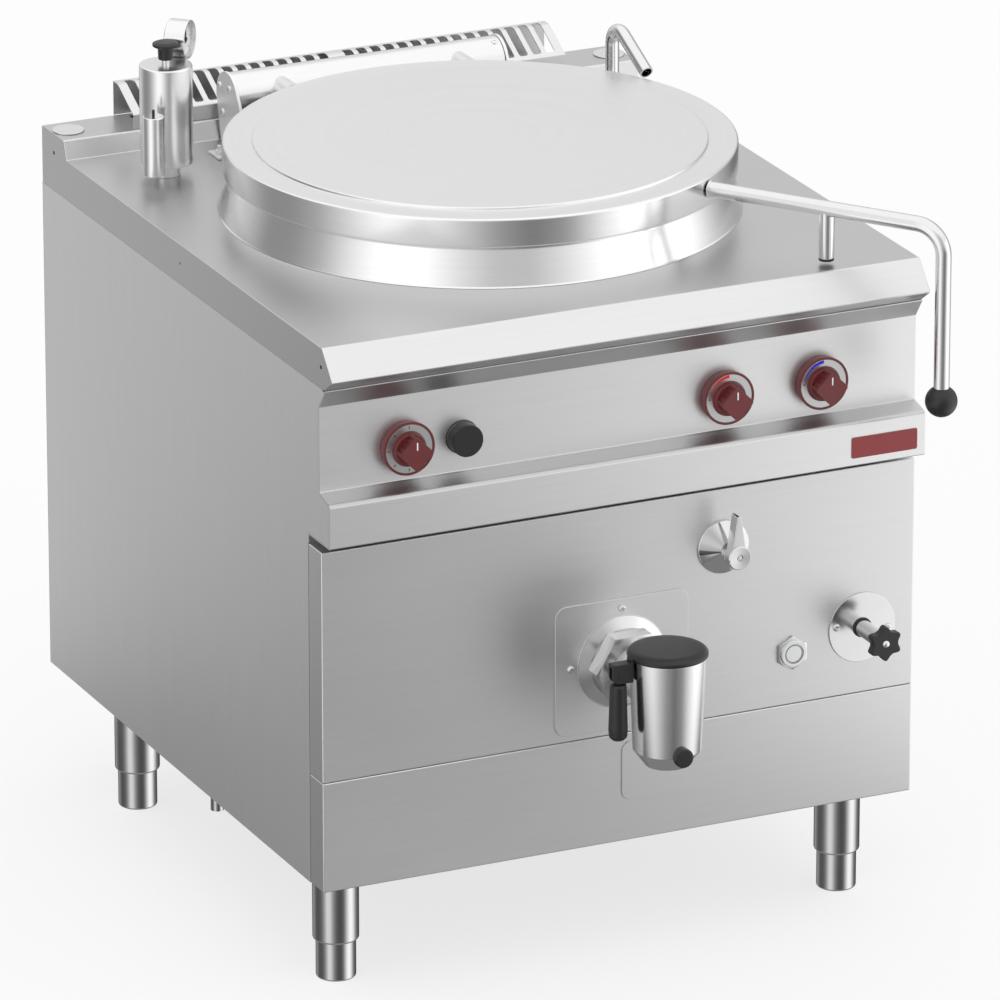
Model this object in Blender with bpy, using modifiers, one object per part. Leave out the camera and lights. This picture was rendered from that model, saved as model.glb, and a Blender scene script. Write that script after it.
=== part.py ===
"""Steam jacketed kettle with a round hinged lid, a drain tap and a flue.

Frame: +Z up, floor at z = 0, the front faces -Y, the cabinet is centred on x = 0.
The empty "cabinet" stands at the front nose of the worktop, so inside it the
second coordinate is the depth behind that nose. Lengths in metres.
"""
import bmesh
import bpy
from math import atan2, cos, hypot, pi, radians, sin, tan
from mathutils import Matrix, Vector

# Fits and sheets
GAP = 0.0003
CUT = 0.010
SHEET = 0.0015
THIN_SHEET = 0.0012
SHELL = 0.0020
SEAM = 0.0008

# Cabinet
WIDTH = 0.800
BASE_Z = 0.1509
SKIRT_Z = 0.8022

# Worktop section, behind the nose and above the floor
NOSE_Z = 0.8178
NOSE_LIP = 0.0225
TOP_Z = 0.8535
BEVEL_DEPTH = 0.0311
RISE_DEPTH = 0.0802
RISE_SLOPE = 0.0089
RISE_Z = 0.8777
BOWL_OPENING_STEP = 0.0010
FLUE_SLOT_EDGE = 0.0165
FLUE_SLOT_START = 0.0115
FLUE_SLOT_DEPTH = 0.0430

# Control panel section
STRIP_TOP = 0.0215
FACE_D = 0.0391
FACE_TOP_Z = 0.7763
LEDGE_Z = 0.6670
LEDGE_NOSE_Z = 0.6605
BAND_D = 0.0097
BAND_Z = 0.6037
LEDGE_R = 0.0060
FOLD_R = 0.0022

# Front and kick panels
PANEL_D = 0.0357
RETURN_D = 0.0732
PANEL_TOP_Z = 0.5915
PANEL_SPLIT_Z = 0.2937
SIDE_FRONT = 0.0745

COVER_WIDTH = 0.088
COVER_X = 0.045
COVER_Z = 0.205
COVER_HEIGHT = 0.0765
COVER_R = 0.012

# Frame and legs
RAIL = 0.030
MID_RAIL = 0.025
GUSSET = 0.074
GUSSET_T = 0.005
BEARER_DS = (0.300, 0.590)
LEG_INSET = 0.0558
LEG_FRONT = 0.1254
LEG_BACK = 0.1519
SLEEVE_R = 0.02875
SLEEVE_Z = 0.050
SLEEVE_ROUND = 0.0055
FOOT_R = 0.025
FOOT_TOP_Z = 0.143
FOOT_ROUND = 0.003

# Bowl, jacket and heating
BOWL_SIDE = 0.100
BOWL_FRONT = 0.1448
BOWL_REAR = 0.1552
BOWL_BOTTOM_Z = 0.358
BOWL_CORNER = 0.012
RIM_Z = 0.9265
NECK_STEP = 0.0130
NECK_Z = 0.8930
FLARE_STEP = 0.0135
FLARE_LIP = 0.0020
JACKET_STEP = 0.028
JACKET_TOP_Z = 0.800
JACKET_BOTTOM_Z = 0.325
JACKET_CORNER = 0.015
INSULATION_T = 0.016
INSULATION_Z = 0.342
INSULATION_TOP_Z = 0.795
FIREBOX_STEP = 0.010
FIREBOX_DEPTH = 0.590
FIREBOX_WALL = 0.003
DUCT_EDGE = 0.015
DUCT_BACK = 0.0685
DUCT_DEPTH = 0.052
DUCT_Z = 0.200
CHANNEL_HEIGHT = 0.070
BURNER_R = 0.190
BURNER_TUBE_R = 0.011
BURNER_Z = 0.240
BURNER_BAR = 0.016

# Flue grille
GRILLE_INSET = 0.0985
GRILLE_DEPTH = 0.066
GRILLE_LIP_Z = 0.899
GRILLE_PEAK_Z = 0.9342
GRILLE_BEND_R = 0.009
GRILLE_LIP_R = 0.0018
SLOT_COUNT = 15
SLOT_MARGIN = 0.01775
SLOT_WIDTH = 0.012
SLOT_FRONT = 0.0052
SLOT_BACK = 0.0105
CAP_INSET = 0.022
CAP_BACK = 0.035
CAP_R = 0.0205
CAP_T = 0.0016

# Lid
LID_STEP = 0.0070
LID_SKIRT_Z = 0.9036
LID_FLANGE_Z = 0.9400
LID_EDGE = 0.0045
LID_BORDER = 0.0365
LID_DISC_Z = 0.9428
LID_CROWN = 0.0017
LID_SHEET = 0.0015
GASKET_T = 0.012

# Lid handle
HANDLE_R = 0.0097
HANDLE_Z = 0.925
HANDLE_ROOT_ANGLE = radians(-55.0)
HANDLE_REACH = 0.0595
HANDLE_END_D = -0.0707
HANDLE_BEND = 0.036
BALL_R = 0.020
BALL_Z = 0.703
BALL_SOCKET = 0.012
STOP_ALONG_SHARE = 0.520
STOP_OUT = 0.0065
STOP_R = 0.0095
STOP_Z = 0.8615
STOP_CLEARANCE = 0.005

# Lid hinge
PIVOT_CLEARANCE = 0.0322
PIVOT_Z = 0.916
HINGE_TUBE_R = 0.031
HINGE_TUBE_WALL = 0.003
HINGE_HALF = 0.1895
PLATE_T = 0.004
BUSH_T = 0.008
SHAFT_R = 0.008
ARM_X = 0.123
ARM_R = 0.0135
ARM_Z = 0.927
PLATE_R = 0.0325
PLATE_KNEE_D = 0.040
PLATE_KNEE_Z = 0.004
PLATE_FOOT_FRONT = 0.0695
PLATE_FOOT_REAR = 0.019
PLATE_FLANGE = 0.036
PLATE_FLANGE_FRONT = 0.057
PLATE_FLANGE_DEPTH = 0.034
PLATE_FLANGE_T = 0.003
SPRING_WIRE_R = 0.0015
SPRING_TURNS = 6
SPRING_PITCH = 0.010
SPRING_X = 0.040

# Safety valve and gauge
VALVE_INSET = 0.094
VALVE_BACK = 0.1825
VALVE_R = 0.0334
VALVE_Z = 0.8695
VALVE_HEIGHT = 0.1290
VALVE_NECK_R = 0.0120
VALVE_FLANGE_R = 0.0175
VALVE_FLANGE_T = 0.003
VALVE_ROUND = 0.0022
PULL_STEM_R = 0.005
PULL_STEM_RISE = 0.0225
PULL_R = 0.0158
PULL_HUB_R = 0.00925
PULL_RISE = 0.0063
PULL_RIM_STEP = 0.0012
PULL_CROWN = 0.0058
GAUGE_RIGHT = 0.0315
GAUGE_BACK = 0.0287
GAUGE_RISE = 0.0205
GAUGE_R = 0.0246
GAUGE_DEPTH = 0.027
GAUGE_RIM = 0.002
GAUGE_RECESS = 0.006
GAUGE_TURN = radians(48.0)
NEEDLE_LENGTH = 0.016
NEEDLE_TAIL = 0.005
NEEDLE_WIDTH = 0.0022
NEEDLE_T = 0.0008
NEEDLE_HUB_R = 0.0028

# Vacuum valve
VACUUM_LEFT = 0.0375
VACUUM_FRONT = 0.0475
VACUUM_R = 0.0136
VACUUM_Z = 0.8720
VACUUM_HEIGHT = 0.0770
VACUUM_NECK_R = 0.0075
VACUUM_FOOT = 0.0060
PIN_R = 0.0018
PIN_HEIGHT = 0.008
PIN_DEPTH = 0.008
NIPPLE_Z = 0.900
NIPPLE_R = 0.012
NIPPLE_TIP_R = 0.006

# Water spout
SPOUT_INSET = 0.104
SPOUT_BACK = 0.216
SPOUT_R = 0.00875
SPOUT_BORE_R = 0.0070
SPOUT_PEAK_Z = 0.990
SPOUT_DRIFT = 0.0048
SPOUT_REACH = 0.0903
SPOUT_END_Z = 0.941
SPOUT_BEND = 0.020
SPOUT_BORE_DEPTH = 0.030
SPOUT_FLANGE_R = 0.021
SPOUT_FLANGE_T = 0.004
SPOUT_NUT = 0.027
SPOUT_NUT_T = 0.011

# Control knobs and igniter
KNOB_LEFT_INSET = 0.1120
KNOB_RIGHT_INSET = 0.1320
KNOB_PITCH = 0.1285
KNOB_NAMES = ("knob_burner", "knob_hot_water", "knob_cold_water")
KNOB_Z = 0.7110
KNOB_R = 0.034
KNOB_RING_H = 0.0131
KNOB_BASE_R = 0.0325
KNOB_FACE_R = 0.0315
KNOB_COLLAR_R = 0.0225
KNOB_COLLAR_H = 0.0190
KNOB_GRIP = 0.0290
KNOB_GRIP_H = 0.0371
KNOB_GRIP_R = 0.0045
KNOB_TAPER_SHARE = 0.94
SPINDLE_R = 0.004
SPINDLE_H = 0.028
SPINDLE_HOLE_R = 0.0060
VALVE_BODY_R = 0.017
VALVE_BODY_LENGTH = 0.036
IGNITER_PITCH = 0.0754
IGNITER_R = 0.0205
IGNITER_COLLAR_R = 0.0190
IGNITER_COLLAR_H = 0.0080
IGNITER_H = 0.0185
IGNITER_TRAVEL = 0.0030
IGNITER_ROUND = 0.0015

# Lever valve
LEVER_X = 0.1373
LEVER_Z = 0.5165
ROSETTE_R = 0.0345
ROSETTE_EDGE = 0.003
ROSETTE_H = 0.0170
ROSETTE_TIP_R = 0.0105
LEVER_HUB_R = 0.0135
LEVER_NECK_R = 0.0095
LEVER_HUB_BACK = 0.0300
LEVER_HUB_H = 0.0482
BLADE_LENGTH = 0.0537
BLADE_ROOT = 0.017
BLADE_TIP = 0.0065
BLADE_BACK = 0.0310
BLADE_FRONT = 0.0455
LEVER_SCREW_R = 0.004
LEVER_SCREW_DEPTH = 0.003
LEVER_BORE_R = 0.0055

# Level valve with star knob
STAR_INSET = 0.0707
STAR_Z = 0.3802
LEVEL_PLATE_R = 0.0455
LEVEL_PLATE_HOLE_R = 0.0115
STEM_R = 0.0095
STEM_FRONT = 0.0497
STEM_BACK = 0.0200
STAR_BACK = 0.0500
STAR_FACE = 0.0677
STAR_LOBE_R = 0.0240
STAR_VALLEY_R = 0.0185
STAR_LOBES = 6
STAR_RIVET_R = 0.0055
STAR_RIVET_H = 0.003
STAR_SPINDLE_R = 0.005
STAR_SPINDLE_DEPTH = 0.016
LEVEL_SCREW_R = 0.036
LEVEL_SCREW_TILT = radians(-8.0)

# Round push button in its nut
BUTTON_PITCH = 0.0957
BUTTON_Z = 0.3612
BUTTON_NUT = 0.040
BUTTON_NUT_T = 0.0046
BUTTON_RING_R = 0.0175
BUTTON_RING_H = 0.0075
BUTTON_R = 0.0125
BUTTON_H = 0.0068
BUTTON_TRAVEL = 0.003
BUTTON_BODY_R = 0.0160
BUTTON_BODY_DEPTH = 0.014
BUTTON_DEPTH = 0.006

# Drain
DRAIN_Z = 0.389
DRAIN_R = 0.030
DRAIN_BORE_R = 0.025
DRAIN_PLATE_WIDTH = 0.176
DRAIN_PLATE_Z = 0.306
DRAIN_PLATE_HEIGHT = 0.166
DRAIN_PLATE_R = 0.015
FLANGE_R = 0.0605
FLANGE_FACE_R = 0.048
FLANGE_H = 0.0095
NUT_ACROSS = 0.086
NUT_T = 0.026
DRAIN_SCREW_R = 0.068

# Drain tap
TAP_D = -0.0935
TAP_TOP_Z = 0.4416
TAP_TOP_R = 0.0475
TAP_SHOULDER_Z = 0.3211
TAP_SHOULDER_R = 0.0406
TAP_END_Z = 0.3013
TAP_END_R = 0.027
TAP_CHAMBER_R = 0.0355
TAP_CHAMBER_Z = 0.332
TAP_OUTLET_R = 0.0235
TAP_CAP_R = 0.0497
TAP_CAP_RIM = 0.0045
TAP_CAP_H = 0.0100
TAP_PLUG_WALL = 0.004
TAP_PORT_R = 0.0230
FORK_IN = -0.0487
FORK_OUT = -0.0762
FORK_Z = 0.4160
FORK_TOP_Z = 0.4375
FORK_DEPTH = 0.014
FORK_ROUND = 0.0094
FORK_SLOT = 0.0066
FORK_SLOT_IN = -0.0592
LUG_OUT = -0.060
LUG_IN = -0.036
TAP_PIN_X = -0.0662
TAP_PIN_Z = 0.4254
TAP_PIN_R = 0.002
TONGUE = 0.0075
TONGUE_ROUND = 0.0030
GRIP_TOP_Z = 0.4146
GRIP_Z = 0.3417
GRIP_TOP_R = 0.0088
GRIP_R = 0.0120
LOCK_Z = 0.3235
LOCK_R = 0.0122
LOCK_FACE_D = -0.146
LOCK_H = 0.0108
LOCK_PIN_R = 0.004
LOCK_PIN_LENGTH = 0.009

# Condensate pipe
STUB_OUT = 0.070
STUB_BACK = 0.0316
STUB_Z = 0.0921
STUB_R = 0.0085
STUB_RISE_Z = 0.235
STUB_BEND = 0.020

# Screw heads
HEAD_R = 0.0045
HEAD_H = 0.0028
STUD_R = 0.005
STUD_H = 0.012
STUD_SHARE = 0.60
BOLT_OFFSETS = ((0.020, 0.010), (-0.010, 0.013), (0.011, -0.023))

# Roundness, in sides per turn
BIG_STEPS = 40
MID_STEPS = 20
SMALL_STEPS = 12
SCREW_STEPS = 6

# Places that follow other sizes
HALF = WIDTH / 2
BOWL_R = HALF - BOWL_SIDE
BOWL_D = BOWL_FRONT + BOWL_R
DEPTH = BOWL_D + BOWL_R + BOWL_REAR
RISE_FRONT = DEPTH - RISE_DEPTH
LEG_X = HALF - LEG_INSET
LEG_REAR = DEPTH - LEG_BACK
NECK_R = BOWL_R + NECK_STEP
FLARE_R = NECK_R + FLARE_STEP
JACKET_R = BOWL_R + JACKET_STEP
BOWL_OPENING_R = NECK_R - BOWL_OPENING_STEP
GRILLE_FRONT = DEPTH - GRILLE_DEPTH
GRILLE_HALF = HALF - GRILLE_INSET
SLOT_PITCH = (GRILLE_HALF - SLOT_MARGIN * 2) / (SLOT_COUNT - 1)
FLUE_SLOT_FRONT = GRILLE_FRONT + FLUE_SLOT_START
FLUE_SLOT_WIDTH = (GRILLE_HALF - FLUE_SLOT_EDGE) * 2
DUCT_WIDTH = FLUE_SLOT_WIDTH - DUCT_EDGE * 2
DUCT_D = DEPTH - DUCT_BACK
FIREBOX_WIDTH = DUCT_WIDTH + FIREBOX_STEP * 2
CAP_X = HALF - CAP_INSET
CAP_D = DEPTH - CAP_BACK
LID_R = NECK_R + LID_STEP
LID_DISC_R = LID_R - LID_BORDER
PIVOT_D = BOWL_D + LID_R + PIVOT_CLEARANCE
PLATE_FLANGE_D = PIVOT_D - PLATE_FLANGE_FRONT
HANDLE_END_X = LID_R + HANDLE_REACH
HANDLE_ROOT_X = cos(HANDLE_ROOT_ANGLE) * (LID_R + GAP)
HANDLE_ROOT_D = BOWL_D + sin(HANDLE_ROOT_ANGLE) * (LID_R + GAP)
STOP_X = HANDLE_ROOT_X + (HANDLE_END_X - HANDLE_ROOT_X) * STOP_ALONG_SHARE
STOP_D = HANDLE_ROOT_D + (HANDLE_END_D - HANDLE_ROOT_D) * STOP_ALONG_SHARE + STOP_OUT
VALVE_X = VALVE_INSET - HALF
VALVE_D = DEPTH - VALVE_BACK
VALVE_TOP_Z = VALVE_Z + VALVE_HEIGHT
PULL_STEM_TOP_Z = VALVE_TOP_Z + PULL_STEM_RISE
PULL_Z = VALVE_TOP_Z + PULL_RISE
PULL_RIM_Z = PULL_STEM_TOP_Z + PULL_RIM_STEP
PULL_TOP_Z = PULL_RIM_Z + PULL_CROWN
GAUGE_Z = VALVE_TOP_Z + GAUGE_RISE
VACUUM_TOP_Z = VACUUM_Z + VACUUM_HEIGHT
GAUGE_X = VALVE_X + GAUGE_RIGHT
GAUGE_D = VALVE_D + GAUGE_BACK
VACUUM_X = VALVE_X - VACUUM_LEFT
VACUUM_D = VALVE_D - VACUUM_FRONT
SPOUT_X = HALF - SPOUT_INSET
SPOUT_D = DEPTH - SPOUT_BACK
SPOUT_END = (SPOUT_X + SPOUT_DRIFT, SPOUT_D - SPOUT_REACH, SPOUT_END_Z)
KNOB_XS = (KNOB_LEFT_INSET - HALF, HALF - KNOB_RIGHT_INSET - KNOB_PITCH, HALF - KNOB_RIGHT_INSET)
IGNITER_X = KNOB_XS[0] + IGNITER_PITCH
STAR_X = HALF - STAR_INSET
BUTTON_X = STAR_X - BUTTON_PITCH
STUB_X = -FIREBOX_WIDTH / 2 - STUB_OUT
STUB_D = BOWL_D + STUB_BACK

TURN_TO_FRONT = (pi / 2, 0, 0)
TURN_TO_SIDE = (0, pi / 2, 0)
FRONT_Y = -(DEPTH + LOCK_FACE_D) / 2


for old in list(bpy.data.objects):
    bpy.data.objects.remove(old, do_unlink=True)

PARTS = bpy.data.collections.new("steam_jacketed_kettle")
CUTTERS = bpy.data.collections.new("cutters")
bpy.context.scene.collection.children.link(PARTS)
bpy.context.scene.collection.children.link(CUTTERS)

CABINET = bpy.data.objects.new("cabinet", None)
CABINET.location = (0, FRONT_Y, 0)
PARTS.objects.link(CABINET)


def make_material(name, color, roughness, metallic):
    material = bpy.data.materials.new(name)
    material.use_nodes = True
    shader = material.node_tree.nodes["Principled BSDF"]
    shader.inputs["Base Color"].default_value = (*color, 1)
    shader.inputs["Roughness"].default_value = roughness
    shader.inputs["Metallic"].default_value = metallic
    material.diffuse_color = (*color, 1)
    return material


STEEL = (0.62, 0.62, 0.62)
BRIGHT = (0.78, 0.78, 0.79)
DARK_STEEL = (0.30, 0.30, 0.31)
BLACK = (0.02, 0.02, 0.02)
RED = (0.20, 0.02, 0.02)
LOOKS = {
    "brushed": (STEEL, 0.36, 1),
    "polished": (BRIGHT, 0.18, 1),
    "chrome": (BRIGHT, 0.08, 1),
    "frame": (DARK_STEEL, 0.55, 1),
    "brass": ((0.60, 0.45, 0.18), 0.30, 1),
    "black": (BLACK, 0.45, 0),
    "red": (RED, 0.40, 0),
    "rubber": (BLACK, 0.80, 0),
    "wool": ((0.55, 0.50, 0.36), 0.95, 0),
    "white": ((0.85, 0.85, 0.83), 0.50, 0),
}


def place(name, mesh, look, location=(0, 0, 0), rotation=(0, 0, 0), collection=PARTS):
    thing = bpy.data.objects.new(name, mesh)
    collection.objects.link(thing)
    thing.parent = CABINET
    thing.location = location
    thing.rotation_euler = rotation
    if look:
        mesh.materials.clear()
        mesh.materials.append(make_material(name, *LOOKS[look]))
    return thing


def smooth(mesh):
    mesh.shade_smooth()
    mesh.set_sharp_from_angle(angle=radians(32))
    return mesh


def evaluated(thing):
    bpy.context.view_layer.update()
    graph = bpy.context.evaluated_depsgraph_get()
    return bpy.data.meshes.new_from_object(thing.evaluated_get(graph), depsgraph=graph)


def bake(thing):
    """Turn a curve or a stack of modifiers into a plain, welded mesh object."""
    mesh = evaluated(thing)
    work = bmesh.new()
    work.from_mesh(mesh)
    bmesh.ops.remove_doubles(work, verts=work.verts, dist=GAP / 10)
    bmesh.ops.recalc_face_normals(work, faces=work.faces)
    work.to_mesh(mesh)
    work.free()
    smooth(mesh)
    solid = bpy.data.objects.new(thing.name, mesh)
    for home in thing.users_collection:
        home.objects.link(solid)
    solid.parent = thing.parent
    solid.matrix_world = thing.matrix_world
    name = thing.name
    bpy.data.objects.remove(thing, do_unlink=True)
    solid.name = name
    return solid


def to_mesh(name, work):
    mesh = bpy.data.meshes.new(name)
    work.to_mesh(mesh)
    work.free()
    return mesh


def box_mesh(name, low, high):
    work = bmesh.new()
    bmesh.ops.create_cube(work, size=1)
    size = Vector(high) - Vector(low)
    centre = (Vector(high) + Vector(low)) / 2
    bmesh.ops.transform(
        work, verts=work.verts, matrix=Matrix.Translation(centre) @ Matrix.Diagonal((*size, 1)),
    )
    return to_mesh(name, work)


def rod_mesh(name, radius, low, high, steps=MID_STEPS, top_radius=None):
    """Cylinder or cone along local Z, from low to high."""
    work = bmesh.new()
    bmesh.ops.create_cone(
        work, cap_ends=True, segments=steps, radius1=radius,
        radius2=radius if top_radius is None else top_radius, depth=high - low,
    )
    bmesh.ops.translate(work, verts=work.verts, vec=(0, 0, (low + high) / 2))
    return smooth(to_mesh(name, work))


def hexagon_mesh(name, across, low, high, turn=0):
    work = bmesh.new()
    radius = across / 2 / cos(pi / 6)
    bmesh.ops.create_cone(work, cap_ends=True, segments=6, radius1=radius, radius2=radius, depth=high - low)
    bmesh.ops.translate(work, verts=work.verts, vec=(0, 0, (low + high) / 2))
    bmesh.ops.rotate(work, verts=work.verts, matrix=Matrix.Rotation(turn, 3, "Z"))
    return to_mesh(name, work)


def turned_mesh(name, profile, steps, closed=False, shell=0):
    """Profile of (radius, height) pairs turned about local Z by a Screw modifier."""
    count = len(profile)
    edges = [(i, i + 1) for i in range(count - 1)]
    if closed:
        edges.append((count - 1, 0))
    mesh = bpy.data.meshes.new(name)
    mesh.from_pydata([(r, 0, z) for r, z in profile], edges, [])
    blank = bpy.data.objects.new(name + "_profile", mesh)
    CUTTERS.objects.link(blank)
    screw = blank.modifiers.new("turn", "SCREW")
    screw.steps = steps
    screw.render_steps = steps
    screw.use_merge_vertices = True
    screw.merge_threshold = GAP / 10
    if shell:
        wall = blank.modifiers.new("wall", "SOLIDIFY")
        wall.thickness = shell
        wall.offset = -1
        wall.use_even_offset = True
    result = evaluated(blank)
    result.name = name
    bpy.data.objects.remove(blank, do_unlink=True)
    return smooth(result)


def arc(centre, radius, start, end, steps):
    """Points on a circle, angles in radians, both ends included."""
    return [
        (centre[0] + radius * cos(start + (end - start) * i / steps),
         centre[1] + radius * sin(start + (end - start) * i / steps))
        for i in range(steps + 1)
    ]


def fillet(points, radii, steps=4):
    """Round the inner corners of an open path; one radius for each inner point."""
    result = [Vector(points[0])]
    for i, radius in enumerate(radii, start=1):
        here = Vector(points[i])
        back = (Vector(points[i - 1]) - here).normalized()
        ahead = (Vector(points[i + 1]) - here).normalized()
        bend = pi - back.angle(ahead)
        if not radius or bend < radians(1):
            result.append(here)
            continue
        reach = radius * tan(bend / 2)
        middle = here + (back + ahead).normalized() * (radius / cos(bend / 2))
        first = here + back * reach - middle
        last = here + ahead * reach - middle
        for k in range(steps + 1):
            share = k / steps
            weight_first = sin((1 - share) * bend) / sin(bend)
            weight_last = sin(share * bend) / sin(bend)
            result.append(middle + first * weight_first + last * weight_last)
    result.append(Vector(points[-1]))
    return result


def shifted(path, distance):
    """Copy of a 2D path moved sideways, to the left of its direction."""
    result = []
    for i, point in enumerate(path):
        before = path[max(i - 1, 0)]
        after = path[min(i + 1, len(path) - 1)]
        one = (point - before) if i else (after - point)
        two = (after - point) if i < len(path) - 1 else (point - before)
        left_one = Vector((-one.y, one.x)).normalized()
        left_two = Vector((-two.y, two.x)).normalized()
        middle = (left_one + left_two).normalized()
        result.append(point + middle * (distance / middle.dot(left_one)))
    return result


def swept_mesh(name, path, low_x, high_x):
    """Open path of (depth, height) pairs drawn out along X."""
    work = bmesh.new()
    rail = [work.verts.new((low_x, point[0], point[1])) for point in path]
    edges = [work.edges.new((rail[i], rail[i + 1])) for i in range(len(rail) - 1)]
    made = bmesh.ops.extrude_edge_only(work, edges=edges)
    moved = [item for item in made["geom"] if isinstance(item, bmesh.types.BMVert)]
    bmesh.ops.translate(work, verts=moved, vec=(high_x - low_x, 0, 0))
    return to_mesh(name, work)


def thicken(thing, thickness, offset=-1):
    wall = thing.modifiers.new("sheet", "SOLIDIFY")
    wall.thickness = thickness
    wall.offset = offset
    wall.use_even_offset = True
    wall.use_quality_normals = True
    return wall


def open_box(name, low, high, open_side, look, thickness=SHEET, location=(0, 0, 0)):
    """Folded tray: a box without the side that faces open_side, walls grown inward."""
    mesh = box_mesh(name, low, high)
    work = bmesh.new()
    work.from_mesh(mesh)
    gone = [face for face in work.faces if face.normal.dot(Vector(open_side)) > cos(radians(10))]
    bmesh.ops.delete(work, geom=gone, context="FACES")
    work.to_mesh(mesh)
    work.free()
    thing = place(name, mesh, look, location)
    thicken(thing, thickness)
    return thing


def flat(name, points, thickness, look, location=(0, 0, 0), rotation=(0, 0, 0), collection=PARTS):
    """Closed 2D outline extruded to a plate, centred on its own plane."""
    curve = bpy.data.curves.new(name, "CURVE")
    curve.dimensions = "2D"
    curve.fill_mode = "BOTH"
    curve.extrude = thickness / 2
    spline = curve.splines.new("POLY")
    spline.points.add(len(points) - 1)
    for target, point in zip(spline.points, points):
        target.co = (point[0], point[1], 0, 1)
    spline.use_cyclic_u = True
    thing = place(name, curve, None, location, rotation, collection)
    thing = bake(thing)
    if look:
        thing.data.materials.clear()
        thing.data.materials.append(make_material(name, *LOOKS[look]))
    return thing


def rounded_rectangle(width, height, radius, steps=4):
    points = []
    for k, (sx, sy) in enumerate(((1, 1), (-1, 1), (-1, -1), (1, -1))):
        centre = (sx * (width / 2 - radius), sy * (height / 2 - radius))
        points += arc(centre, radius, k * pi / 2, (k + 1) * pi / 2, steps)
    return points


def pipe(name, points, radius, look, resolution=3, collection=PARTS):
    """Round tube along a POLY spline with filled caps, as a mesh."""
    curve = bpy.data.curves.new(name, "CURVE")
    curve.dimensions = "3D"
    curve.bevel_depth = radius
    curve.bevel_resolution = resolution
    curve.use_fill_caps = True
    spline = curve.splines.new("POLY")
    spline.points.add(len(points) - 1)
    for target, point in zip(spline.points, points):
        target.co = (*point, 1)
    thing = bake(place(name, curve, None, collection=collection))
    if look:
        thing.data.materials.clear()
        thing.data.materials.append(make_material(name, *LOOKS[look]))
    return thing


def tool(name, mesh, location=(0, 0, 0), rotation=(0, 0, 0)):
    thing = place(name, mesh, None, location, rotation, CUTTERS)
    thing.hide_render = True
    thing.display_type = "WIRE"
    return thing


def boolean(thing, other, operation, solver="EXACT"):
    other.hide_render = True
    other.display_type = "WIRE"
    modifier = thing.modifiers.new(other.name, "BOOLEAN")
    modifier.operation = operation
    modifier.solver = solver
    modifier.object = other


def cut(thing, other, solver="EXACT"):
    boolean(thing, other, "DIFFERENCE", solver)


def fuse(thing, other, solver="EXACT"):
    boolean(thing, other, "UNION", solver)


def head_at(thing, name, mesh, place_matrix):
    """Weld a screw head to the piece that it holds."""
    copy = mesh.copy()
    copy.transform(place_matrix)
    fuse(thing, tool(name, copy), "MANIFOLD")


# Worktop: one folded sheet, open below, with the opening for the bowl and for the flue.
section = [
    (NOSE_LIP, SKIRT_Z), (0, NOSE_Z), (BEVEL_DEPTH, TOP_Z), (RISE_FRONT, TOP_Z),
    (RISE_FRONT + RISE_SLOPE, RISE_Z), (DEPTH, RISE_Z), (DEPTH, SKIRT_Z),
]
work = bmesh.new()
end = work.faces.new([work.verts.new((-HALF, d, z)) for d, z in section])
made = bmesh.ops.extrude_face_region(work, geom=[end])
moved = [item for item in made["geom"] if isinstance(item, bmesh.types.BMVert)]
bmesh.ops.translate(work, verts=moved, vec=(WIDTH, 0, 0))
bmesh.ops.recalc_face_normals(work, faces=work.faces)
under = [face for face in work.faces if face.normal.z < -cos(radians(10))]
bmesh.ops.delete(work, geom=under, context="FACES")
worktop = place("worktop", to_mesh("worktop", work), "brushed")
thicken(worktop, SHEET)
cut(
    worktop,
    tool(
        "bowl_opening", rod_mesh("bowl_opening", BOWL_OPENING_R, TOP_Z - CUT, TOP_Z + CUT, BIG_STEPS),
        (0, BOWL_D, 0),
    ),
)
cut(worktop, tool("flue_opening", box_mesh(
    "flue_opening",
    (-FLUE_SLOT_WIDTH / 2, FLUE_SLOT_FRONT, RISE_Z - CUT),
    (FLUE_SLOT_WIDTH / 2, FLUE_SLOT_FRONT + FLUE_SLOT_DEPTH, RISE_Z + CUT),
)))

# Control panel: a sheet folded along its length, sloped strip, face, ledge and band.
STRIP_Z = SKIRT_Z - SHEET - GAP
face_path = fillet(
    [(STRIP_TOP, STRIP_Z), (FACE_D, FACE_TOP_Z), (FACE_D, LEDGE_Z), (BAND_D, LEDGE_NOSE_Z),
     (BAND_D, BAND_Z), (RETURN_D, BAND_Z)],
    [FOLD_R, FOLD_R, LEDGE_R, FOLD_R],
)
control_panel = place("control_panel", swept_mesh("control_panel", face_path, -HALF, HALF), "brushed")
thicken(control_panel, SHEET, 1)
for x in (*KNOB_XS, IGNITER_X):
    cut(
        control_panel,
        tool(
            "spindle_hole", rod_mesh("spindle_hole", SPINDLE_HOLE_R, -CUT, CUT, SMALL_STEPS),
            (x, FACE_D, KNOB_Z), TURN_TO_FRONT,
        ),
    )

# Side panels: flat sheets whose front edge follows the folded control panel.
inner_path = shifted(face_path, SHEET + GAP)
side_outline = [(DEPTH - SHEET - GAP, BASE_Z), (SIDE_FRONT, BASE_Z), (SIDE_FRONT, inner_path[-1].y)]
side_outline += [(point.x, point.y) for point in reversed(inner_path[1:-1])]
side_outline += [(inner_path[0].x, SKIRT_Z - GAP), (DEPTH - SHEET - GAP, SKIRT_Z - GAP)]
for name, side in (("side_panel_left", -1), ("side_panel_right", 1)):
    flat(name, side_outline, SHEET, "brushed", (side * (HALF - SHEET / 2), 0, 0), (pi / 2, 0, pi / 2))

place(
    "back_panel", box_mesh("back_panel", (-HALF, DEPTH - SHEET, BASE_Z), (HALF, DEPTH, SKIRT_Z - GAP)),
    "brushed",
)

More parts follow.
